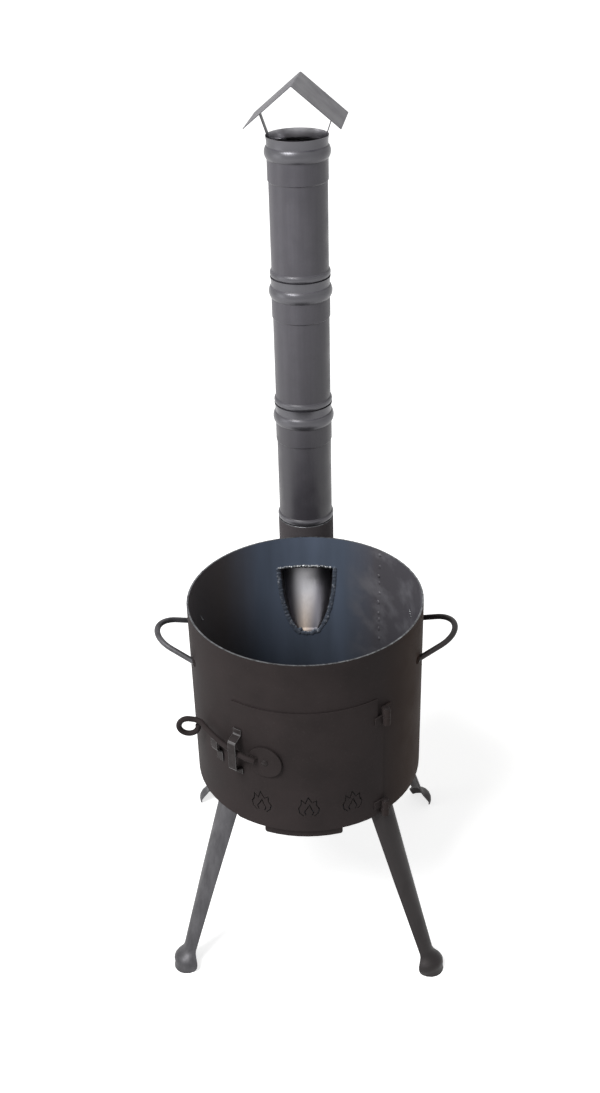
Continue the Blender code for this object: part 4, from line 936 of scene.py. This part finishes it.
for name, seat, height, nodes in (
        ("rivet_head", DISC_FACE, RIVET_HEAD_HEIGHT, ["latch_rivet"]),
        ("rivet_tail", DISC_BACK - RIVET_TAIL_BACK, -RIVET_TAIL_HEIGHT, [])):
    bm = turned([(TIP_RADIUS, 0.0)] + domed(RIVET_RADIUS, 0.0, height), Vector((0, 0, 0)), 32)
    place = Matrix.Translation(ring_point(seat, LATCH_AZIMUTH, LATCH_Z)) @ face_out
    bmesh.ops.transform(bm, matrix=place, verts=bm.verts)
    rivet = new_piece(name, bm, "door", [bright_steel], nodes)
    smooth_by_angle(rivet, 40)


# Staple and catch
# Strips of 16 mm strap bent in a vice. The staple, welded to the door, is a bridge that the latch
# bar runs through, and the catch, welded to the drum, is a step whose tip the bar lies on.

LATCH_STRAP_WIDTH = 0.016
LATCH_STRAP_GAUGE = 0.0025
LATCH_STRAP_BEND = 0.0035
LATCH_STRAP_EDGE = 0.0005
STAPLE_AZIMUTH, CATCH_AZIMUTH = -33.6, -46.5
STAPLE_FOOT, STAPLE_STAND = 0.21195, 0.22937
CATCH_FOOT, CATCH_STAND = 0.20985, 0.22116
STAPLE_FLANGE, STAPLE_SHOULDER = 0.012, 0.019
CATCH_FLANGE, CATCH_SHOULDER = 0.020, 0.030
low, high = (corner.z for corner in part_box("latch_staple"))
staple_path = [(STAPLE_FOOT, low), (STAPLE_FOOT, low + STAPLE_FLANGE),
               (STAPLE_STAND, low + STAPLE_SHOULDER), (STAPLE_STAND, high - STAPLE_SHOULDER),
               (STAPLE_FOOT, high - STAPLE_FLANGE), (STAPLE_FOOT, high)]
low, high = (corner.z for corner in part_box("latch_catch"))
catch_path = [(CATCH_FOOT, low), (CATCH_FOOT, low + CATCH_FLANGE), (CATCH_STAND, low + CATCH_SHOULDER),
              (CATCH_STAND, high)]


def stand_out(azimuth):
    """Turns a side view so that out is away from the drum at an azimuth."""
    return Matrix.Translation(DRUM_AXIS) @ Matrix.Rotation(math.radians(azimuth - 90.0), 4, "Z")


for name, node, body, path, azimuth in (
        ("latch_bridge", "latch_staple", "door", staple_path, STAPLE_AZIMUTH),
        ("latch_step", "latch_catch", "stove", catch_path, CATCH_AZIMUTH)):
    bm = bent_sheet(path, LATCH_STRAP_WIDTH, LATCH_STRAP_BEND, stand_out(azimuth))
    strip = new_piece(name, bm, body, [bright_steel, worn_steel_and_painted_highlight], [node])
    # The sloping shoulders take the pale finish: a painted highlight on the bends, and wear where the rod
    # rubs
    for face in strip.data.polygons:
        face.material_index = 1 if 0.30 < abs(face.normal.z) < 0.80 else 0
    thicken(strip, LATCH_STRAP_GAUGE, LATCH_STRAP_EDGE)


# Fire grate and clips
# A round cast plate with two rows of slots, dropped on four angle clips inside the drum. Raw
# casting, grey-black with a sandy skin.

# Sand-cast iron: coarse, dark and dry, with a faint graphite sheen.
cast_iron, tree, shader, place = new_finish("sand_cast_iron", {"Metallic": 0.3, "Roughness": 0.72})
sand = add_node(tree, "TexNoise", {"Vector": place, "Scale": per_metre(2.5), "Detail": 5.0})
colour = add_node(tree, "Mix", {0: sand, 6: "#232222", 7: "#3f3d3c"}, data_type="RGBA")
relief = add_node(tree, "Bump", {"Height": sand, "Strength": 0.6, "Distance": 0.0005})
fill(shader, {"Base Color": colour, "Normal": relief})

CAST_EDGE = 0.0010
grate = new_piece("cast_grate", merged_copy("fire_grate"), "grate", [cast_iron],
                  ["fire_grate"])
smooth_by_angle(grate, 35)
soften_edges(grate, CAST_EDGE, 50.0)

for number in (1, 2, 3, 4):
    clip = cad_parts["grate_clip_%d" % number]
    clip.data.materials.clear()
    clip.data.materials.append(rolled_steel)


# Studio
# A white sweep with one broad soft lamp high in front on the left, a weaker one low on the left, and
# an even sky. The camera stands where the photographer did, looking down on the drum.

CAMERA_PLACE = DRUM_AXIS + Vector((0.0416, -1.8463, 1.8698))
CAMERA_YAW, CAMERA_PITCH, CAMERA_ROLL = -1.49, 30.63, -1.54
CAMERA_LENS = 41.253
FLOOR_REACH = 30.0
SKY_LEVEL = 0.26
WHITE = "#ffffff"
LAMP_AIM = Vector((0, 0, 0.6))

yaw, pitch, roll = (math.radians(a) for a in (CAMERA_YAW, CAMERA_PITCH, CAMERA_ROLL))
ahead = Vector((math.sin(yaw) * math.cos(pitch), math.cos(yaw) * math.cos(pitch), -math.sin(pitch)))
across = Vector((math.cos(yaw), -math.sin(yaw), 0))
above = across.cross(ahead)
right = math.cos(roll) * across + math.sin(roll) * above
up = math.cos(roll) * above - math.sin(roll) * across
camera = bpy.data.objects.new("camera", bpy.data.cameras.new("camera"))
bpy.context.collection.objects.link(camera)
camera.matrix_world = Matrix.Translation(CAMERA_PLACE) @ Matrix((right, up, -ahead)).transposed().to_4x4()
camera.data.lens = CAMERA_LENS
bpy.context.scene.camera = camera

bm = bmesh.new()
bmesh.ops.create_grid(bm, x_segments=1, y_segments=1, size=FLOOR_REACH)
ground_mesh = bpy.data.meshes.new("studio_floor")
bm.to_mesh(ground_mesh)
bm.free()
ground = bpy.data.objects.new("studio_floor", ground_mesh)
bpy.context.collection.objects.link(ground)
# White paper sweep: matte, and lifted to white for the camera, so that the shadow stays faint
paper = bpy.data.materials.new("white_paper")
paper.use_nodes = True
tree = paper.node_tree
tree.nodes.remove(tree.nodes["Principled BSDF"])
sheet = add_node(tree, "BsdfDiffuse", {"Color": "#e9e9e8"})
where = add_node(tree, "TexCoord").outputs["Object"]
away = add_node(tree, "VectorMath", {0: where}, operation="LENGTH")
lift = add_node(tree, "MapRange",
                {"Value": away, "From Min": 0.5, "From Max": 2.0, "To Min": 0.72, "To Max": 1.0})
glow = add_node(tree, "Emission", {"Color": WHITE, "Strength": lift})
lifted = add_node(tree, "AddShader", {0: sheet, 1: glow})


def seen_directly(tree):
    """1 for a ray from the camera, or off a glossy or through a clear surface, and otherwise 0."""
    path = add_node(tree, "LightPath").outputs
    either = add_node(tree, "Math", {0: path["Is Camera Ray"], 1: path["Is Glossy Ray"]},
                      operation="MAXIMUM")
    return add_node(tree, "Math", {0: either, 1: path["Is Transmission Ray"]}, operation="MAXIMUM")


paper_look = add_node(tree, "MixShader", {0: seen_directly(tree), 1: sheet, 2: lifted})
fill(tree.nodes["Material Output"], {"Surface": paper_look})
ground_mesh.materials.append(paper)

world = bpy.data.worlds.new("studio")
world.use_nodes = True
bpy.context.scene.world = world
tree = world.node_tree
sky = tree.nodes["Background"]
fill(sky, {"Color": WHITE, "Strength": SKY_LEVEL})
backdrop = add_node(tree, "Background", {"Color": WHITE, "Strength": 1.0})
mixed = add_node(tree, "MixShader", {0: seen_directly(tree), 1: sky, 2: backdrop})
fill(tree.nodes["World Output"], {"Surface": mixed})

for name, spot, size, power in (("key_lamp", (-1.6, -1.9, 3.8), 1.6, 150.0),
                                ("fill_lamp", (-2.6, -0.6, 1.2), 1.4, 10.0)):
    lamp = bpy.data.objects.new(name, bpy.data.lights.new(name, "AREA"))
    lamp.data.size = size
    lamp.data.energy = power
    bpy.context.collection.objects.link(lamp)
    aim = (LAMP_AIM - Vector(spot)).to_track_quat("-Z", "Y")
    lamp.matrix_world = Matrix.Translation(spot) @ aim.to_matrix().to_4x4()

bpy.context.scene.view_settings.view_transform = "Standard"
